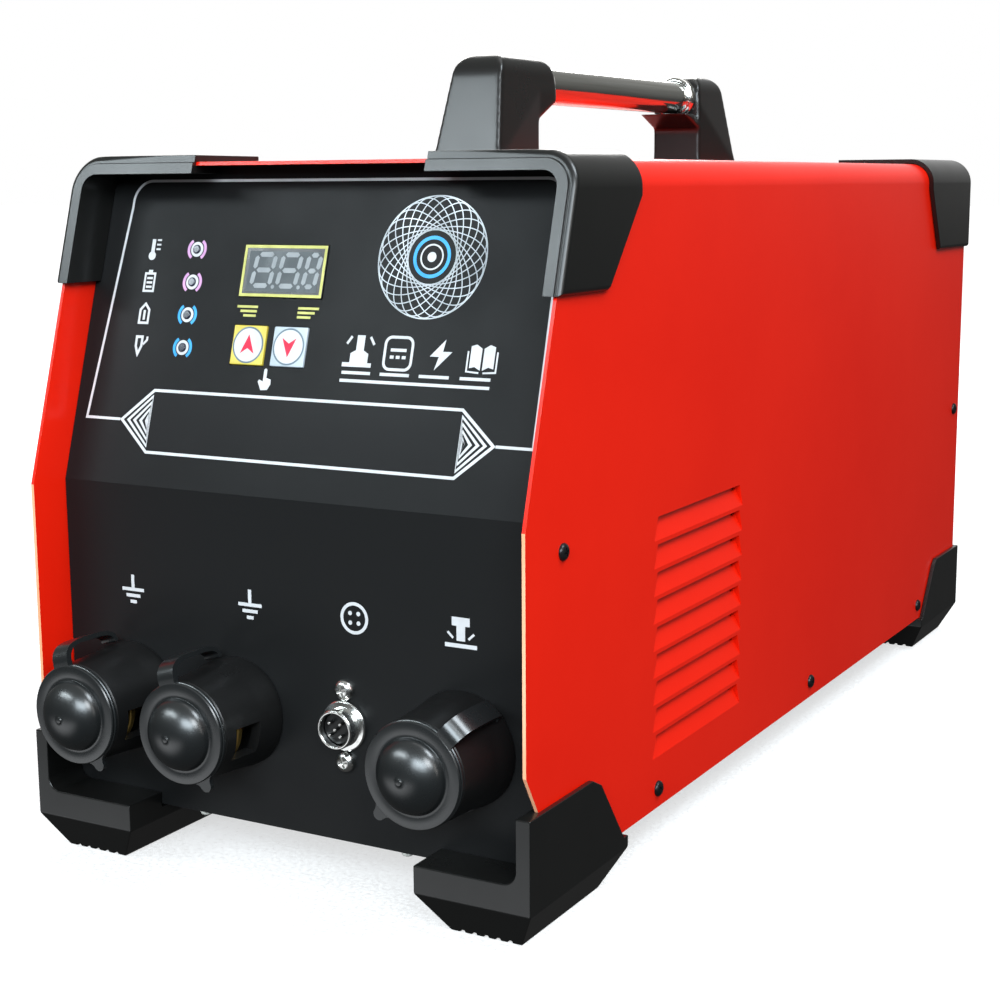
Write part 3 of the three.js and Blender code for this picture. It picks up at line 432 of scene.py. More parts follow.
def turned(name, centre, profile, sides=72, axis=(0, -1, 0)):
    """A turned piece: a circle drawn out ring by ring from (radius, reach) pairs, both ends closed."""
    on_axis = 0.00001
    bpy.ops.object.select_all(action="DESELECT")
    start, low = profile[0]
    bpy.ops.mesh.primitive_circle_add(vertices=sides, radius=start, location=(0, 0, low))
    bpy.ops.object.transform_apply(location=True, rotation=False, scale=False)
    piece = bpy.context.object
    piece.name = name
    bpy.ops.object.mode_set(mode="EDIT")
    bpy.ops.mesh.select_all(action="SELECT")
    if start > on_axis:
        bpy.ops.mesh.extrude_region_move(TRANSFORM_OT_translate={"value": (0, 0, 0)})
        bpy.ops.mesh.merge(type="CENTER")
        bpy.ops.mesh.select_all(action="DESELECT")
        bpy.ops.object.mode_set(mode="OBJECT")
        for vertex in piece.data.vertices:
            vertex.select = vertex.co.xy.length > start * 0.5
        bpy.ops.object.mode_set(mode="EDIT")
    wide, level = start, low
    for radius, reach in profile[1:]:
        lift = {"value": (0, 0, reach - level)}
        bpy.ops.mesh.extrude_region_move(TRANSFORM_OT_translate=lift)
        if radius > on_axis:
            share = radius / wide
            bpy.ops.transform.resize(value=(share, share, 1), center_override=(0, 0, reach))
        else:
            bpy.ops.mesh.merge(type="CENTER")
        wide, level = radius, reach
    if wide > on_axis:
        bpy.ops.mesh.extrude_region_move(TRANSFORM_OT_translate={"value": (0, 0, 0)})
        bpy.ops.mesh.merge(type="CENTER")
    bpy.ops.mesh.select_all(action="SELECT")
    bpy.ops.mesh.remove_doubles(threshold=0.000002)
    bpy.ops.mesh.normals_make_consistent(inside=False)
    bpy.ops.object.mode_set(mode="OBJECT")
    stand = Vector((0, 0, 1)).rotation_difference(Vector(axis)).to_matrix().to_4x4()
    piece.data.transform(Matrix.Translation(Vector(centre)) @ stand)
    return piece


tube_low, tube_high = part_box("handle_tube")
tube_radius = (tube_high.z - tube_low.z) / 2
tube_middle = (tube_low + tube_high) / 2
tube_length = tube_high.y - tube_low.y
grip = turned("grip_tube", (0, tube_low.y, tube_middle.z), [
    (tube_radius, 0), (tube_radius, tube_length)], sides=96, axis=(0, 1, 0))
round_edges(grip, 0.0005)
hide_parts("handle_tube")
fitted(grip, chromed)
for end, away in (("front", 1), ("rear", -1)):
    ring_low, ring_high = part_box(f"handle_ring_{end}")
    outer = (ring_high.z - ring_low.z) / 2
    width = ring_high.y - ring_low.y
    near = ring_low.y if away > 0 else ring_high.y
    bead = [(tube_radius + 0.0002, 0)]
    for i in range(11):
        t = i / 10 * math.pi / 2
        swell = (outer - tube_radius) * math.cos(t) ** 0.7
        bead.append((tube_radius + swell, width * (0.35 + 0.65 * math.sin(t))))
    ring = turned(f"grip_ring_{end}", (0, near, tube_middle.z), [bead[0], (outer, 0)] + bead[1:],
                  sides=96, axis=(0, away, 0))
    alone(ring)
    bpy.ops.object.shade_smooth_by_angle(angle=math.radians(50))
    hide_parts(f"handle_ring_{end}")
    fitted(ring, chromed)

# Screen print on the leaning panel: a white frame line and a bare banner with nested chevrons at
# its ends. Ink a tenth of a millimetre thick, printed on the black coat. All print is drawn in
# millimetres, across from the panel's middle and up from its knee, or up from the floor below it.
setback = 0.020
face_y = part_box("cover")[0].y + setback
knee_z = 0.1692
lean = math.atan(42 / 140.5)
slope = Matrix((
    (0.001, 0, 0, 0),
    (0, 0.001 * math.sin(lean), -0.001 * math.cos(lean), face_y),
    (0, 0.001 * math.cos(lean), 0.001 * math.sin(lean), knee_z),
    (0, 0, 0, 1)))
upright = Matrix((
    (0.001, 0, 0, 0),
    (0, 0, -0.001, face_y),
    (0, 0.001, 0, 0),
    (0, 0, 0, 1)))


def ink(name, shade, other, rough=0.45):
    """Screen ink: nearly flat, a little uneven in tone."""
    return coat(name, shade, other, rough, 2500, 0.00001, gloss=0.3, drift=120)


white_ink = ink("white_ink", (0.62, 0.62, 0.63), (0.54, 0.54, 0.55))
olive_ink = ink("olive_ink", (0.56, 0.55, 0.16), (0.44, 0.43, 0.12))
pink_ink = ink("pink_ink", (0.62, 0.33, 0.58), (0.52, 0.26, 0.50))
blue_ink = ink("blue_ink", (0.05, 0.38, 0.80), (0.03, 0.30, 0.68))
banner_ink = coat("banner_ink", (0.0094, 0.0094, 0.0098), (0.0084, 0.0084, 0.0088), 0.44, 2500, 0.00001,
                  gloss=0.13, drift=7)


def arc(across, up, radius, start, end, steps=24, squash=1.0):
    """Points along an arc, in degrees from the right."""
    turns = [math.radians(start + (end - start) * i / steps) for i in range(steps + 1)]
    return [(across + radius * math.cos(t), up + radius * squash * math.sin(t)) for t in turns]


def disc(across, up, radius, steps=40):
    """One closed round outline."""
    return [arc(across, up, radius, 0, 360, steps)[:-1]]


def hoop(across, up, radius, width, steps=40):
    """A round line of some width."""
    return disc(across, up, radius + width / 2, steps) + disc(across, up, radius - width / 2, steps)


def offset_side(points, gap, closed):
    """The points moved sideways by a gap, with mitred corners."""
    moved = []
    count = len(points)
    for i, point in enumerate(points):
        here = Vector(point)
        before = Vector(points[i - 1]) if (i or closed) else None
        after = Vector(points[(i + 1) % count]) if (i < count - 1 or closed) else None
        ahead = (after - here).normalized() if after is not None else (here - before).normalized()
        behind = (here - before).normalized() if before is not None else ahead
        side = Vector((-ahead.y - behind.y, ahead.x + behind.x)).normalized()
        across = Vector((-ahead.y, ahead.x))
        reach = gap / max(side.dot(across), 0.35)
        moved.append(tuple(here + side * reach))
    return moved


def line(points, width, closed=False):
    """The outline of a line of some width through points."""
    left = offset_side(points, width / 2, closed)
    right = offset_side(points, -width / 2, closed)
    if closed:
        return [left, right]
    return [left + right[::-1]]


def printed(name, shapes, colour, plane, low=0.0, high=0.10, body="case"):
    """Flat shapes of a thickness on one of the panel's planes, drawn in millimetres."""
    made = []
    for loops in shapes:
        drawing = bpy.data.curves.new(name, "CURVE")
        drawing.dimensions = "2D"
        drawing.fill_mode = "BOTH"
        drawing.extrude = (high - low) / 2
        for loop in loops:
            spline = drawing.splines.new("POLY")
            spline.points.add(len(loop) - 1)
            for point, (across, up) in zip(spline.points, loop):
                point.co = (across, up, 0, 1)
            spline.use_cyclic_u = True
        sheet = bpy.data.objects.new(name, drawing)
        bpy.context.collection.objects.link(sheet)
        made.append(sheet)
    bpy.ops.object.select_all(action="DESELECT")
    for sheet in made:
        sheet.select_set(True)
    bpy.context.view_layer.objects.active = made[0]
    bpy.ops.object.convert(target="MESH")
    if len(made) > 1:
        bpy.ops.object.join()
    piece = bpy.context.object
    piece.name = name
    bpy.ops.object.mode_set(mode="EDIT")
    bpy.ops.mesh.select_all(action="SELECT")
    bpy.ops.mesh.remove_doubles(threshold=0.001)
    bpy.ops.mesh.normals_make_consistent(inside=False)
    bpy.ops.object.mode_set(mode="OBJECT")
    piece.data.transform(plane @ Matrix.Translation((0, 0, (low + high) / 2)))
    return fitted(piece, colour, body)


def shifted(across, up, points):
    """Points set off from a place."""
    return [(across + x, up + y) for x, y in points]


def mirrored(loops):
    """The same outlines on the panel's other half."""
    return [[(-across, up) for across, up in loop][::-1] for loop in loops]


frame_width = 1.2
banner_width = 1.3
banner_up = 28.9
frame_left = [(-96.5, banner_up), (-116, banner_up), (-112.9, 64.2), (-107.8, 126)]
frame_right = [(113.2, 64.2), (113.4, banner_up), (96.5, banner_up)]
corner_left = arc(-98.3, 128.8, 9.5, 175, 92, 10)
corner_right = arc(103.6, 129.3, 9, 88, 2, 10)
frame_line = frame_left + corner_left + corner_right + frame_right
banner = [(-95.5, banner_up), (-79.3, 42.8), (79.3, 42.8), (95.5, banner_up), (79.3, 15), (-79.3, 15)]
frame_loops = [line(frame_line, frame_width), line(banner, banner_width, True)]
printed("frame_line", frame_loops, white_ink, slope)
printed("banner_field", [[banner]], banner_ink, slope, 0.0, 0.04)
chevrons = []
for i in range(8):
    step = 1.5 * i
    tip, base, half = -92.6 + step * 1.15, -79.4 - 0.25 * i, 11.9 - step * 0.98
    chevrons.append([(tip, banner_up), (base, banner_up + half), (base, banner_up - half)])
printed("banner_chevrons", [chevrons, mirrored(chevrons)], white_ink, slope)

# Print round the lamps: a white ring about each lens between two brackets, pink on the upper
# pair and blue on the lower one.
lamp_rows = [107 - 14.8 * i for i in range(4)]
lamp_x = -67.5
bracket_radius = 4.6
bracket_width = 1.35
lamp_rings = [hoop(lamp_x, up, 2.7, 1.3) for up in lamp_rows]
printed("lamp_rings", lamp_rings, white_ink, slope)
for name, rows, colour in (("upper", lamp_rows[:2], pink_ink), ("lower", lamp_rows[2:], blue_ink)):
    brackets = []
    for up in rows:
        for start, end in ((125, 235), (55, -55)):
            brackets.append(line(arc(lamp_x, up, bracket_radius, start, end, 12), bracket_width))
    printed(f"lamp_brackets_{name}", brackets, colour, slope)

# Signs beside the lamps: a thermometer for heat, a cell for stored charge, a house for supply
# and a gun. White ink like the frame line, drawn plain.
sign_x = -91.5
heat, charge, supply, gun = lamp_rows
stem = shifted(sign_x, heat, [(-1, 4.4), (-1, -2)])
cell = shifted(sign_x, charge, [(-3, 3.4), (2.4, 3.4), (2.4, -4.6), (-3, -4.6)])
cell_cap = shifted(sign_x, charge, [(-1.4, 4.5), (0.8, 4.5)])
house = shifted(sign_x, supply, [(-2.9, -4.4), (-2.9, 1.6), (-0.4, 4.3), (2.1, 1.6), (2.1, -4.4)])
door = shifted(sign_x, supply, [(-0.4, 1.4), (-0.4, -3)])
gun_body = shifted(sign_x, gun, [(-2.6, 4), (0.6, 4), (0.6, -0.2), (-1, -3.8), (-2.6, -0.2)])
gun_lead = shifted(sign_x, gun, [(1.4, 0.6), (3.4, 2.6), (3.4, 4.2)])
signs = [line(stem, 1.9), disc(sign_x - 1, heat - 3.2, 2.0)]
signs += [line(shifted(sign_x, heat, [(0.9, h), (3.2, h)]), 0.8) for h in (4.0, 1.9, -0.2)]
signs += [line(cell, 1.0, True), line(cell_cap, 1.1)]
signs += [line(shifted(sign_x, charge, [(-1.9, h), (1.3, h)]), 1.0) for h in (1.3, -0.7, -2.7)]
signs += [line(house, 1.1, True), line(door, 1.2), line(gun_body, 1.2, True), line(gun_lead, 1.0)]
printed("lamp_signs", signs, white_ink, slope)

# Bars either side of the display's caption place, in olive ink, and a white pointing hand under
# the keys.
bars = []
for i in range(3):
    up = 82.0 - 1.95 * i
    bars.append(line([(-40.6 + 1.9 * i, up), (-29.6 - 0.3 * i, up)], 1.05))
    bars.append(line([(-8.4, up), (2.4 - 1.9 * i, up)], 1.05))
printed("caption_bars", bars, olive_ink, slope)
hand = shifted(-20.5, 50.2, [
    (-0.8, 4.6), (0, 5.2), (0.8, 4.6), (0.8, 1.0), (3.2, 0.4), (3.4, -1.6), (2.0, -4.2), (-1.4, -4.4),
    (-3.4, -0.8), (-2.8, 0.2), (-0.8, -0.6)])
printed("hand_sign", [[hand]], white_ink, slope)

# Round ornament: a plain rosette of turned ovals in silver ink, round a dark disc with a blue
# edge and a white heart, each printed over the last.
silver_ink = coat("silver_ink", (0.40, 0.42, 0.44), (0.26, 0.28, 0.30), 0.35, 1800, 0.00001,
                  metal=0.3, drift=60)
rosette_x, rosette_up = 54.8, 105.3
oval_long, oval_short = 25.6, 11.5
rosette = []
for i in range(12):
    turn = math.radians(15 * i)
    oval = []
    for step in range(72):
        t = 2 * math.pi * step / 72
        long, short = oval_long * math.cos(t), oval_short * math.sin(t)
        oval.append((rosette_x + long * math.cos(turn) - short * math.sin(turn),
                     rosette_up + long * math.sin(turn) + short * math.cos(turn)))
    rosette.append(line(oval, 0.42, True))
rosette.append(hoop(rosette_x, rosette_up, 25.9, 0.5, 96))
rosette_heart = [hoop(rosette_x, rosette_up, 5.2, 0.7), disc(rosette_x, rosette_up, 2.1)]
rosette_edge = [hoop(rosette_x, rosette_up, 8.2, 1.5)]
rosette_field = [disc(rosette_x, rosette_up, 8.6)]
printed("rosette", rosette, silver_ink, slope)
printed("rosette_field", rosette_field, banner_ink, slope, 0.10, 0.13)
printed("rosette_edge", rosette_edge, blue_ink, slope, 0.13, 0.18)
printed("rosette_heart", rosette_heart, white_ink, slope, 0.13, 0.18)

# Row of four signs with their underlines: stud on a plate, direct current, arc and handbook.
# White ink, under the round ornament.
row_up = 64.5
stud, current, spark, book = 26, 45, 65.5, 85
row = [line(shifted(stud, row_up, [(-8, -5.6), (6.4, -5.6)]), 1.8)]
row += [[shifted(stud, row_up, [
    (-4.4, -4.7), (4.4, -4.7), (4.4, -0.8), (1.9, 0.6), (1.9, 7.0), (-1.9, 7.0), (-1.9, 0.6), (-4.4, -0.8)])]]
row += [line(shifted(stud, row_up, [(side * 4.6, 6.4), (side * 6.8, 3.2)]), 1.1) for side in (1, -1)]
rounded = []
for i, (side, rise) in enumerate(((1, 1), (-1, 1), (-1, -1), (1, -1))):
    rounded += arc(current + side * 3.6, row_up + rise * 3.8, 3, 90 * i, 90 * i + 90, 6)
row += [line(rounded, 1.2, True)]
row += [line(shifted(current, row_up, [(-3.8, 1.4), (3.8, 1.4)]), 1.3)]
for i in range(3):
    dash = [(current - 3.8 + 2.9 * i, row_up - 1.6), (current - 2.0 + 2.9 * i, row_up - 1.6)]
    row += [line(dash, 1.3)]
row += [[shifted(spark, row_up, [
    (1.6, 6.6), (-5.2, -0.6), (-0.8, -0.6), (-2.4, -6.2), (5.2, 1.6), (0.8, 1.6)])]]
for side in (-1, 1):
    page = [(side * 0.5, -5.4), (side * 0.5, 3.6), (side * 3.2, 5.2), (side * 5.6, 4.4), (side * 5.6, -4.6),
            (side * 3.2, -4.0)]
    cover_edge = [(side * 6.8, 2.4), (side * 6.8, -6.0), (side * 1.0, -6.4)]
    row += [[shifted(book, row_up, page)], line(shifted(book, row_up, cover_edge), 0.7)]
row += [line([(x - 7.6, row_up - 9.0), (x + 6.6, row_up - 9.0)], 1.3) for x in (26, 45, 64, 83.4)]
row += [line([(18, row_up - 12.4), (90, row_up - 12.4)], 1.3)]
printed("sign_row", row, white_ink, slope)

# Signs over the sockets: earth for both clamps, the pins of the control plug, stud for the gun.
# White ink on the panel's upright part.
over = 121.7
socket_x = [-88, -29.5, 85]
plug_x = 27.3
marks = []
for x in (-86, -21):
    marks += [line(shifted(x, over, [(0, 6.5), (0, 0.5)]), 1.7)]
    marks += [line(shifted(x, over, [(-half, -up), (half, -up)]), 1.5)
              for half, up in ((6.2, 0.2), (4.0, 3.0), (1.8, 5.8))]
pins_x = 33
pin_reach = 2.9
marks += [hoop(pins_x, over, 6.2, 1.4)]
for i in range(4):
    turn = math.radians(45 + 90 * i)
    marks += [disc(pins_x + pin_reach * math.cos(turn), over + pin_reach * math.sin(turn), 0.95, 16)]
gun_x = 84.5
marks += [line(shifted(gun_x, over, [(-7.5, -5.6), (7.5, -5.6)]), 1.7)]
marks += [[shifted(gun_x, over, [
    (-2, -3.6), (2, -3.6), (2, 2.6), (4.2, 2.6), (4.2, 6.2), (-4.2, 6.2), (-4.2, 2.6), (-2, 2.6)])]]
marks += [line(shifted(gun_x, over, [(side * 3.6, -2.6), (side * 6.2, -0.2)]), 1.0) for side in (-1, 1)]
printed("socket_signs", marks, white_ink, upright)

# Display: a moulded black body set in the panel, with a grey window behind an olive frame and
# three slanted seven-bar digits, unlit.
bezel = coat("bezel_black", (0.008, 0.008, 0.009), (0.006, 0.006, 0.007), 0.3, 1500, 0.00002, drift=60)
glass_grey = coat("window_grey", (0.066, 0.078, 0.084), (0.056, 0.066, 0.072), 0.30, 900, 0.00001,
                  gloss=0.2, drift=90)
unlit = coat("unlit_bars", (0.30, 0.32, 0.33), (0.25, 0.27, 0.28), 0.40, 1500, 0.00001,
             gloss=0.2, drift=160)
eased("display_window", "display_body", bezel, 0.0003)


def plate(left, low, right, high):
    """One four-sided outline."""
    return [(left, low), (right, low), (right, high), (left, high)]


display_frame = [line(plate(-39.7, 87.1, 2.3, 108.6), 1.3, True)]
display_glass = [[plate(-37.4, 88.7, 0.0, 106.5)]]
printed("display_frame", display_frame, olive_ink, slope, 0.6, 0.72)
printed("display_glass", display_glass, glass_grey, slope, 0.6, 0.66)
bar = 2.15
half_bar = bar / 2
bar_tip = 0.9
digit_low = 91.3
tall, tilt = 6.9, 0.11
point_up = 90.9
point_radius = 0.9
digit_bars = []
for start, wide in ((-34.6, 9.6), (-20.9, 9.4), (-7.4, 6.0)):
    for level in (0, 1, 2):
        foot_x = start + tilt * level * tall
        digit_bars.append([shifted(foot_x, digit_low + level * tall, [
            (1.0, 0), (2.0, half_bar), (wide - 2.0, half_bar), (wide - 1.0, 0), (wide - 2.0, -half_bar),
            (2.0, -half_bar)])])
    for level in (0, 1):
        for side in (0, wide):
            low_at = digit_low + level * tall + 0.5
            high_at = low_at + tall - 1.0
            a = start + tilt * (low_at - digit_low) + side
            b = start + tilt * (high_at - digit_low) + side
            digit_bars.append([[
                (a, low_at), (a + half_bar, low_at + bar_tip), (b + half_bar, high_at - bar_tip),
                (b, high_at), (b - half_bar, high_at - bar_tip), (a - half_bar, low_at + bar_tip)]])
    if start < -10:
        digit_bars.append(disc(start + wide + 1.9, point_up, point_radius, 12))
printed("display_digits", digit_bars, unlit, slope, 0.66, 0.70)

# Keys: two square moulded caps that press in, yellow to raise and pale to lower, each printed
# with a white disc and a red arrow head.
key_yellow = coat("key_yellow", (0.62, 0.50, 0.06), (0.56, 0.44, 0.05), 0.35, 900, 0.00002, drift=90)
key_pale = coat("key_pale", (0.44, 0.50, 0.55), (0.38, 0.44, 0.49), 0.35, 900, 0.00002, drift=90)
slate_ink = ink("slate_ink", (0.14, 0.19, 0.23), (0.11, 0.15, 0.18))
red_ink = ink("red_ink", (0.74, 0.012, 0.055), (0.66, 0.010, 0.045))
eased("key_more", "key_up", key_yellow, 0.0005, body="key_more", steps=3)
eased("key_less", "key_down", key_pale, 0.0005, body="key_less", steps=3)
key_up = 65
edge_radius = 8.1
face_radius = 7.3
for key_x, points_up, word in ((-31.3, 1, "more"), (-9.9, -1, "less")):
    key_body = f"key_{word}"
    disc_edge = [disc(key_x, key_up, edge_radius, 64)]
    disc_face = [disc(key_x, key_up, face_radius, 64)]
    head = [(key_x + x, key_up + y * points_up) for x, y in ((0, 4.7), (3.7, -3.8), (0, -1.4), (-3.7, -3.8))]
    printed(f"disc_edge_{word}", disc_edge, slate_ink, slope, 0.9, 0.94, key_body)
    printed(f"disc_face_{word}", disc_face, white_ink, slope, 0.94, 0.98, key_body)
    printed(f"arrow_{word}", [[head]], red_ink, slope, 0.98, 1.02, key_body)

# Lamps: four small domed lenses of dark plastic in a column, pressed into the panel from
# behind, unlit.
lens_dark = coat("lens_dark", (0.012, 0.016, 0.035), (0.010, 0.012, 0.026), 0.16, 900, 0.00001, drift=200)
for i in range(4):
    eased(f"lamp_{i + 1}", f"lens_{i + 1}", lens_dark, 0.0006, steps=4)

# Output sockets: black insulating barrels on a collar, bored, with a slot in the side through
# which the brass contact shows. Pushed through the panel and nutted behind it.
insulator = coat("insulator_black", (0.0070, 0.0070, 0.0070), (0.0055, 0.0055, 0.0055), 0.34, 1600, 0.00004,
                 gloss=0.4, drift=30)
brass = coat("brass", (0.95, 0.66, 0.20), (0.80, 0.50, 0.13), 0.34, 1200, 0.00002, metal=1.0, drift=80)
socket_z = 0.0732
names = ("left", "middle", "right")
strap_angles = (106, 106, 48)
tab_angles = (300, 300, 229)
seat_gap = 0.0003
slot_size = (0.04, 0.015, 0.014)
slot_depth = 0.0223
slot_turn = 118
for name, x, angle in zip(names, socket_x, strap_angles):
    centre = (x / 1000, face_y - seat_gap, socket_z)
    barrel = turned(f"barrel_{name}", centre, [
        (0.0185, 0.008), (0.0185, 0.0355), (0.0190, 0.036), (0.0215, 0.036), (0.0220, 0.0354),
        (0.0233, 0.0140), (0.0236, 0.0110), (0.0242, 0.0060), (0.0246, 0.0030), (0.0247, 0.0008),
        (0.0244, 0.0), (0.0120, 0.0), (0.0120, -0.010)], sides=96)
    bpy.ops.object.select_all(action="DESELECT")
    bpy.ops.mesh.primitive_cube_add(size=1, location=(0, 0, 0))
    cutter = bpy.context.object
    cutter.scale = slot_size
    bpy.ops.object.transform_apply(location=False, rotation=False, scale=True)
    aside = Matrix.Rotation(math.radians(slot_turn - angle), 4, "Y")
    cutter.data.transform(Matrix.Translation((x / 1000, face_y - slot_depth, socket_z)) @ aside
                          @ Matrix.Translation((slot_size[0] / 2, 0, 0)))
    alone(barrel)
    cut = barrel.modifiers.new("slot", "BOOLEAN")
    cut.object = cutter
    cut.operation = "DIFFERENCE"
    bpy.ops.object.modifier_apply(modifier=cut.name)
    bpy.data.objects.remove(cutter)
    round_edges(barrel, 0.0002)
    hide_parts(f"socket_{name}")
    fitted(barrel, insulator)
    pin = turned(f"brass_pin_{name}", centre, [
        (0.0050, -0.0115), (0.0050, 0.0083), (0.0110, 0.0083), (0.0110, 0.0152), (0.0106, 0.0156),
        (0.0106, 0.0160), (0.0110, 0.0164), (0.0110, 0.0181), (0.0104, 0.0187), (0.0072, 0.0187),
        (0.0066, 0.0181), (0.0066, 0.0108)], sides=64)
    round_edges(pin, 0.0002)
    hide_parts(f"contact_{name}")
    fitted(pin, brass)
    lip = turned(f"brass_lip_{name}", centre, [
        (0.0150, 0.0200), (0.0178, 0.0200), (0.0183, 0.0206), (0.0183, 0.0228), (0.0178, 0.0234),
        (0.0150, 0.0234), (0.0150, 0.0200)], sides=96)
    round_edges(lip, 0.0002)
    fitted(lip, brass)

# Dust caps: one rubber moulding each, a domed disc with a stepped rim, a pull tab and an arched
# strap back to the barrel's collar. They close the barrels' mouths.
rubber = coat("cap_rubber", (0.0085, 0.0096, 0.0100), (0.0068, 0.0078, 0.0082), 0.28, 1300, 0.00002,
              gloss=0.8, drift=40, spread=0.02)


def bent(start, turn, end, steps=8):
    """Points of a bend from one point to another, drawn towards a third."""
    points = []
    for i in range(1, steps + 1):
        t = i / steps
        points.append(tuple((1 - t) ** 2 * a + 2 * t * (1 - t) * b + t * t * c
                            for a, b, c in zip(start, turn, end)))
    return points


def radial(x, angle):
    """A plane through a socket's axis: across it is the depth, up it the distance from the axis."""
    out_x, out_z = math.cos(math.radians(angle)), math.sin(math.radians(angle))
    return Matrix((
        (0, 0.001 * out_x, -0.001 * out_z, x / 1000),
        (0.001, 0, 0, face_y),
        (0, 0.001 * out_z, 0.001 * out_x, socket_z),
        (0, 0, 0, 1)))


def flatwise(x, angle, depth):
    """A plane across a socket's axis at a depth, its up side turned to an angle."""
    out_x, out_z = math.cos(math.radians(angle)), math.sin(math.radians(angle))
    return Matrix((
        (0.001 * out_z, 0.001 * out_x, 0, x / 1000),
        (0, 0, -0.001, face_y - depth / 1000),
        (-0.001 * out_x, 0.001 * out_z, 0, socket_z),
        (0, 0, 0, 1)))


cap_seat = 0.0366
strap_half = 4.25
for name, x, angle, tab_angle in zip(names, socket_x, strap_angles, tab_angles):
    cap_body = f"cap_{name}"
    profile = [(0.0216, 0.0), (0.0222, 0.0004), (0.0222, 0.0013), (0.0219, 0.0016), (0.0213, 0.0017),
               (0.0213, 0.0019), (0.0218, 0.0021), (0.0219, 0.0027), (0.0215, 0.0032), (0.0198, 0.0034),
               (0.0170, 0.0034), (0.0160, 0.0032), (0.0156, 0.0034)]
    for i in range(1, 17):
        t = i / 17 * math.pi / 2
        profile.append((0.0154 * math.cos(t), 0.0038 + 0.0084 * math.sin(t) ** 1.1))
    profile += [(0.0013, 0.01225), (0.0011, 0.01270), (0.0004, 0.01280)]
    cap = turned(f"cap_{name}", (x / 1000, face_y - cap_seat, socket_z), profile, sides=120)
    alone(cap)
    bpy.ops.object.shade_smooth_by_angle(angle=math.radians(38))
    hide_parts(f"dust_cap_{name}")
    fitted(cap, rubber, cap_body)
    back, front, root, crest = -36.7, -39.6, -6.8, 31.5
    strap = [(back, 20.5), (front, 20.5), (front, 23.0)]
    strap += bent((front, 23.0), (front, crest), (front + 12, crest), 12) + [(root - 12, crest)]
    strap += bent((root - 12, crest), (root + 1, crest), (root + 1, 26), 10)
    strap += [(root + math.cos(t), 26 + math.sin(t)) for t in (-0.6, -1.2, -1.9, -2.5)]
    strap += [(root - 1, 26)] + bent((root - 1, 26), (root - 1, crest - 2), (root - 12, crest - 2), 10)
    strap += [(front + 12, crest - 2)] + bent((front + 12, crest - 2), (back, crest - 2), (back, 23.0), 12)
    band = printed(f"cap_strap_{name}", [[strap]], rubber, radial(x, angle),
                   -strap_half, strap_half, cap_body)
    round_edges(band, 0.0006, 3, sharp=40, smooth=31)
    tab = [(-6.0, 19.5), (6.0, 19.5)] + bent((5.2, 21.4), (2.9, 22.2), (2.6, 24.6), 5)
    tab += arc(0, 24.4, 2.6, 0, 180, 12) + bent((-2.6, 24.6), (-2.9, 22.2), (-5.2, 21.4), 5)
    pull = printed(f"cap_tab_{name}", [[tab]], rubber, flatwise(x, tab_angle, -back),
                   0.0, 2.0, cap_body)
    round_edges(pull, 0.0005, 3, sharp=40, smooth=31)

# Control connector: a nickel-plated barrel with a nut ring, round a moulded insulator with five
# pins, between two domed screws in the panel.
nickel = coat("nickel", (0.80, 0.80, 0.78), (0.66, 0.66, 0.64), 0.20, 1200, 0.00002, metal=1.0, drift=90)
plug_z = 0.0747
plug_centre = (plug_x / 1000, face_y - seat_gap, plug_z)
shell = turned("plug_shell", plug_centre, [
    (0.0071, -0.010), (0.0071, 0.0080), (0.0074, 0.0084), (0.0081, 0.0084), (0.0086, 0.0079),
    (0.0086, 0.0021), (0.0105, 0.0018), (0.0110, 0.0013), (0.0110, 0.0), (0.0086, 0.0),
    (0.0086, -0.010), (0.0071, -0.010)], sides=72)
round_edges(shell, 0.0001)
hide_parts("connector_shell")
fitted(shell, nickel)
eased("connector_insert", "plug_insert", insulator, 0.0001)
tip_circle = 3.8
tip_depth = 0.0078
tip_places = [(0, 0)]
for i in range(4):
    turn = math.radians(45 + 90 * i)
    tip_places.append((tip_circle * math.cos(turn), tip_circle * math.sin(turn)))
for i, (across, up) in enumerate(tip_places):
    tip = turned(f"plug_tip_{i}", ((plug_x + across) / 1000, face_y - tip_depth, plug_z + up / 1000), [
        (0.0008, 0), (0.0008, 0.0002), (0.0005, 0.0006)], sides=20)
    alone(tip)
    bpy.ops.object.shade_smooth_by_angle(angle=math.radians(40))
    fitted(tip, nickel)


def screw(name, centre, axis, radius, rise, finish, slot, turn=0.0):
    """A domed screw head with a cross recess, its flat side on the sheet."""
    head = turned(name, (0, 0, 0), [
        (radius, 0), (radius, rise * 0.25), (radius * 0.93, rise * 0.55), (radius * 0.76, rise * 0.82),
        (radius * 0.5, rise * 0.96), (radius * 0.2, rise)], sides=40, axis=(0, 0, 1))
    bpy.ops.object.select_all(action="DESELECT")
    tools = []
    for size in ((radius * 1.1, radius * 0.26, rise * 1.1), (radius * 0.26, radius * 1.1, rise * 1.1)):
        bpy.ops.mesh.primitive_cube_add(size=1, location=(0, 0, rise))
        tools.append(bpy.context.object)
        tools[-1].scale = size
        bpy.ops.object.transform_apply(location=True, rotation=False, scale=True)
    for tool in tools:
        alone(head)
        cut = head.modifiers.new("cross", "BOOLEAN")
        cut.object = tool
        cut.operation = "DIFFERENCE"
        bpy.ops.object.modifier_apply(modifier=cut.name)
        bpy.data.objects.remove(tool)
    alone(head)
    bpy.ops.object.shade_smooth_by_angle(angle=math.radians(35))
    stand = Vector((0, 0, 1)).rotation_difference(Vector(axis)).to_matrix().to_4x4()
    spun = Matrix.Rotation(math.radians(turn), 4, "Z")
    head.data.transform(Matrix.Translation(Vector(centre)) @ stand @ spun)
    return fitted(head, finish)


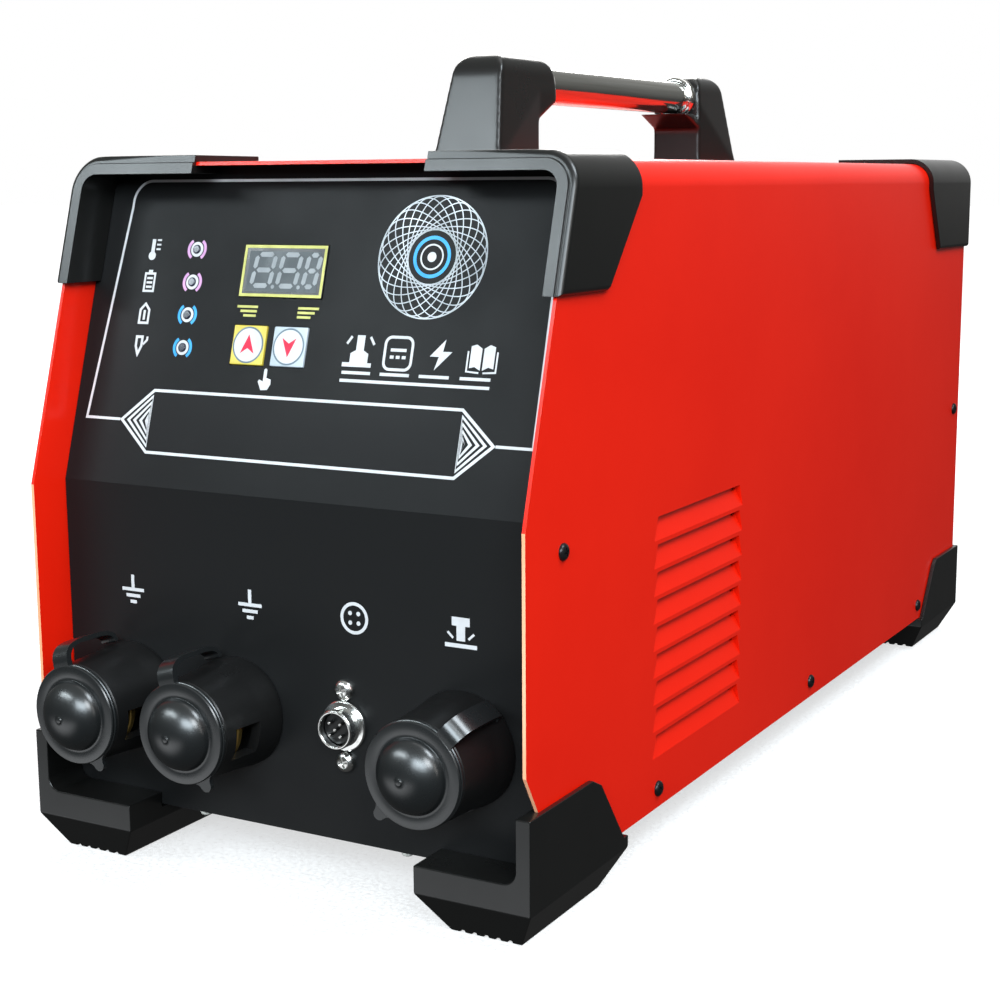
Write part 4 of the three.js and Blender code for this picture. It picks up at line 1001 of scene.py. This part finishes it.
plug_screw_x = 0.0277
plug_head = (0.0047, 0.0034)
for word, up in (("over", 0.0903), ("under", 0.0588)):
    screw(f"plug_screw_{word}", (plug_screw_x, face_y, up), (0, -1, 0), *plug_head, nickel,
          "connector_metal", 20)

# Cover screws: black steel pan heads along both sides' edges, and bright zinc-plated ones under
# the front panel. They hold the sheets to the tray.
blackened = coat("blackened_steel", (0.020, 0.020, 0.022), (0.014, 0.014, 0.015), 0.32, 1500, 0.00003,
                 metal=0.6, drift=120)
zinc = coat("zinc_plate", (0.90, 0.88, 0.82), (0.78, 0.76, 0.70), 0.5, 1200, 0.00002, metal=0.2, drift=90)
under_y = face_y + 0.0040
under_z = 0.0230
under_head = (0.0028, 0.0026)
for i, across in enumerate((-0.052, 0.055)):
    screw(f"under_screw_{i + 1}", (across, under_y, under_z), (0, 0, -1), *under_head, zinc,
          "panel_paint", 30)
side_x = 0.125
side_head = (0.0036, 0.0020)
middle_along = 289.8
side_screws = ((31, 156.7), (124, 31.1), (324.6, 31.1), (525.6, 31.4), (594, 150.7))
for i, (along, up) in enumerate(side_screws):
    for side, word in ((1, "right"), (-1, "left")):
        spot = (side * side_x, (along - middle_along) / 1000, up / 1000)
        screw(f"side_screw_{word}_{i + 1}", spot, (side, 0, 0), *side_head, blackened,
              "cover_paint", 15 + 37 * i)

# Fan: a moulded frame and rotor behind the rear panel's round opening, under a guard of bright
# welded wire, all on the same four screws.
fan_black = coat("fan_black", (0.014, 0.014, 0.014), (0.010, 0.010, 0.010), 0.42, 1500, 0.00004, drift=30)
eased("fan_frame", "fan_housing", fan_black, 0.0004)
eased("fan_rotor", "fan_blades", fan_black, 0.0004, body="fan")
eased("fan_guard", "guard_wires", chromed, 0.0006, steps=3)

# Power switch and cord gland, moulded, on the rear panel, and the brass earth stud with its nut.
# The switch snaps into its cut-out; gland and stud are nutted behind the panel.
switch_black = coat("switch_black", (0.010, 0.010, 0.010), (0.008, 0.008, 0.008), 0.34, 1400, 0.00003,
                    drift=60)
rocker_red = coat("rocker_red", (0.42, 0.012, 0.010), (0.36, 0.010, 0.008), 0.26, 1400, 0.00002, drift=60)
gland_black = coat("gland_black", (0.011, 0.011, 0.011), (0.008, 0.008, 0.008), 0.42, 1500, 0.00004, drift=50)
eased("switch_body", "switch_frame", switch_black, 0.0005)
eased("switch_rocker", "rocker_cap", rocker_red, 0.0005, body="rocker")
eased("cord_gland", "gland_body", gland_black, 0.0006)
eased("earth_stud", "earth_bolt", brass, 0.0004)

# Inside: tray, boards, capacitors, transformer and heat sink, seen only through the louvres
# and the fan's opening.
tray_steel = coat("tray_steel", (0.30, 0.31, 0.32), (0.24, 0.25, 0.26), 0.40, 700, 0.00003,
                  metal=1.0, drift=25)
board_green = coat("board_green", (0.030, 0.140, 0.050), (0.022, 0.110, 0.040), 0.42, 900, 0.00004,
                   drift=60)
sleeve_blue = coat("sleeve_blue", (0.015, 0.030, 0.085), (0.012, 0.024, 0.070), 0.34, 900, 0.00002,
                   drift=40)
core_grey = coat("core_grey", (0.120, 0.125, 0.130), (0.090, 0.094, 0.100), 0.45, 1200, 0.00005,
                 metal=1.0, drift=60)
copper_wound = coat("copper_wound", (0.380, 0.110, 0.030), (0.300, 0.085, 0.022), 0.34, 1400, 0.00008,
                    metal=0.8, drift=70)
sink_bright = coat("sink_bright", (0.48, 0.49, 0.50), (0.40, 0.41, 0.42), 0.38, 1200, 0.00003,
                   metal=1.0, drift=50)
for node, finish in (
        ("base_tray", tray_steel), ("panel_board", board_green), ("power_board", board_green),
        ("capacitor_bank", sleeve_blue), ("transformer_core", core_grey), ("transformer_coil", copper_wound),
        ("heat_sink", sink_bright)):
    nodes[node].data.materials.clear()
    nodes[node].data.materials.append(finish)

bpy.context.view_layer.update()
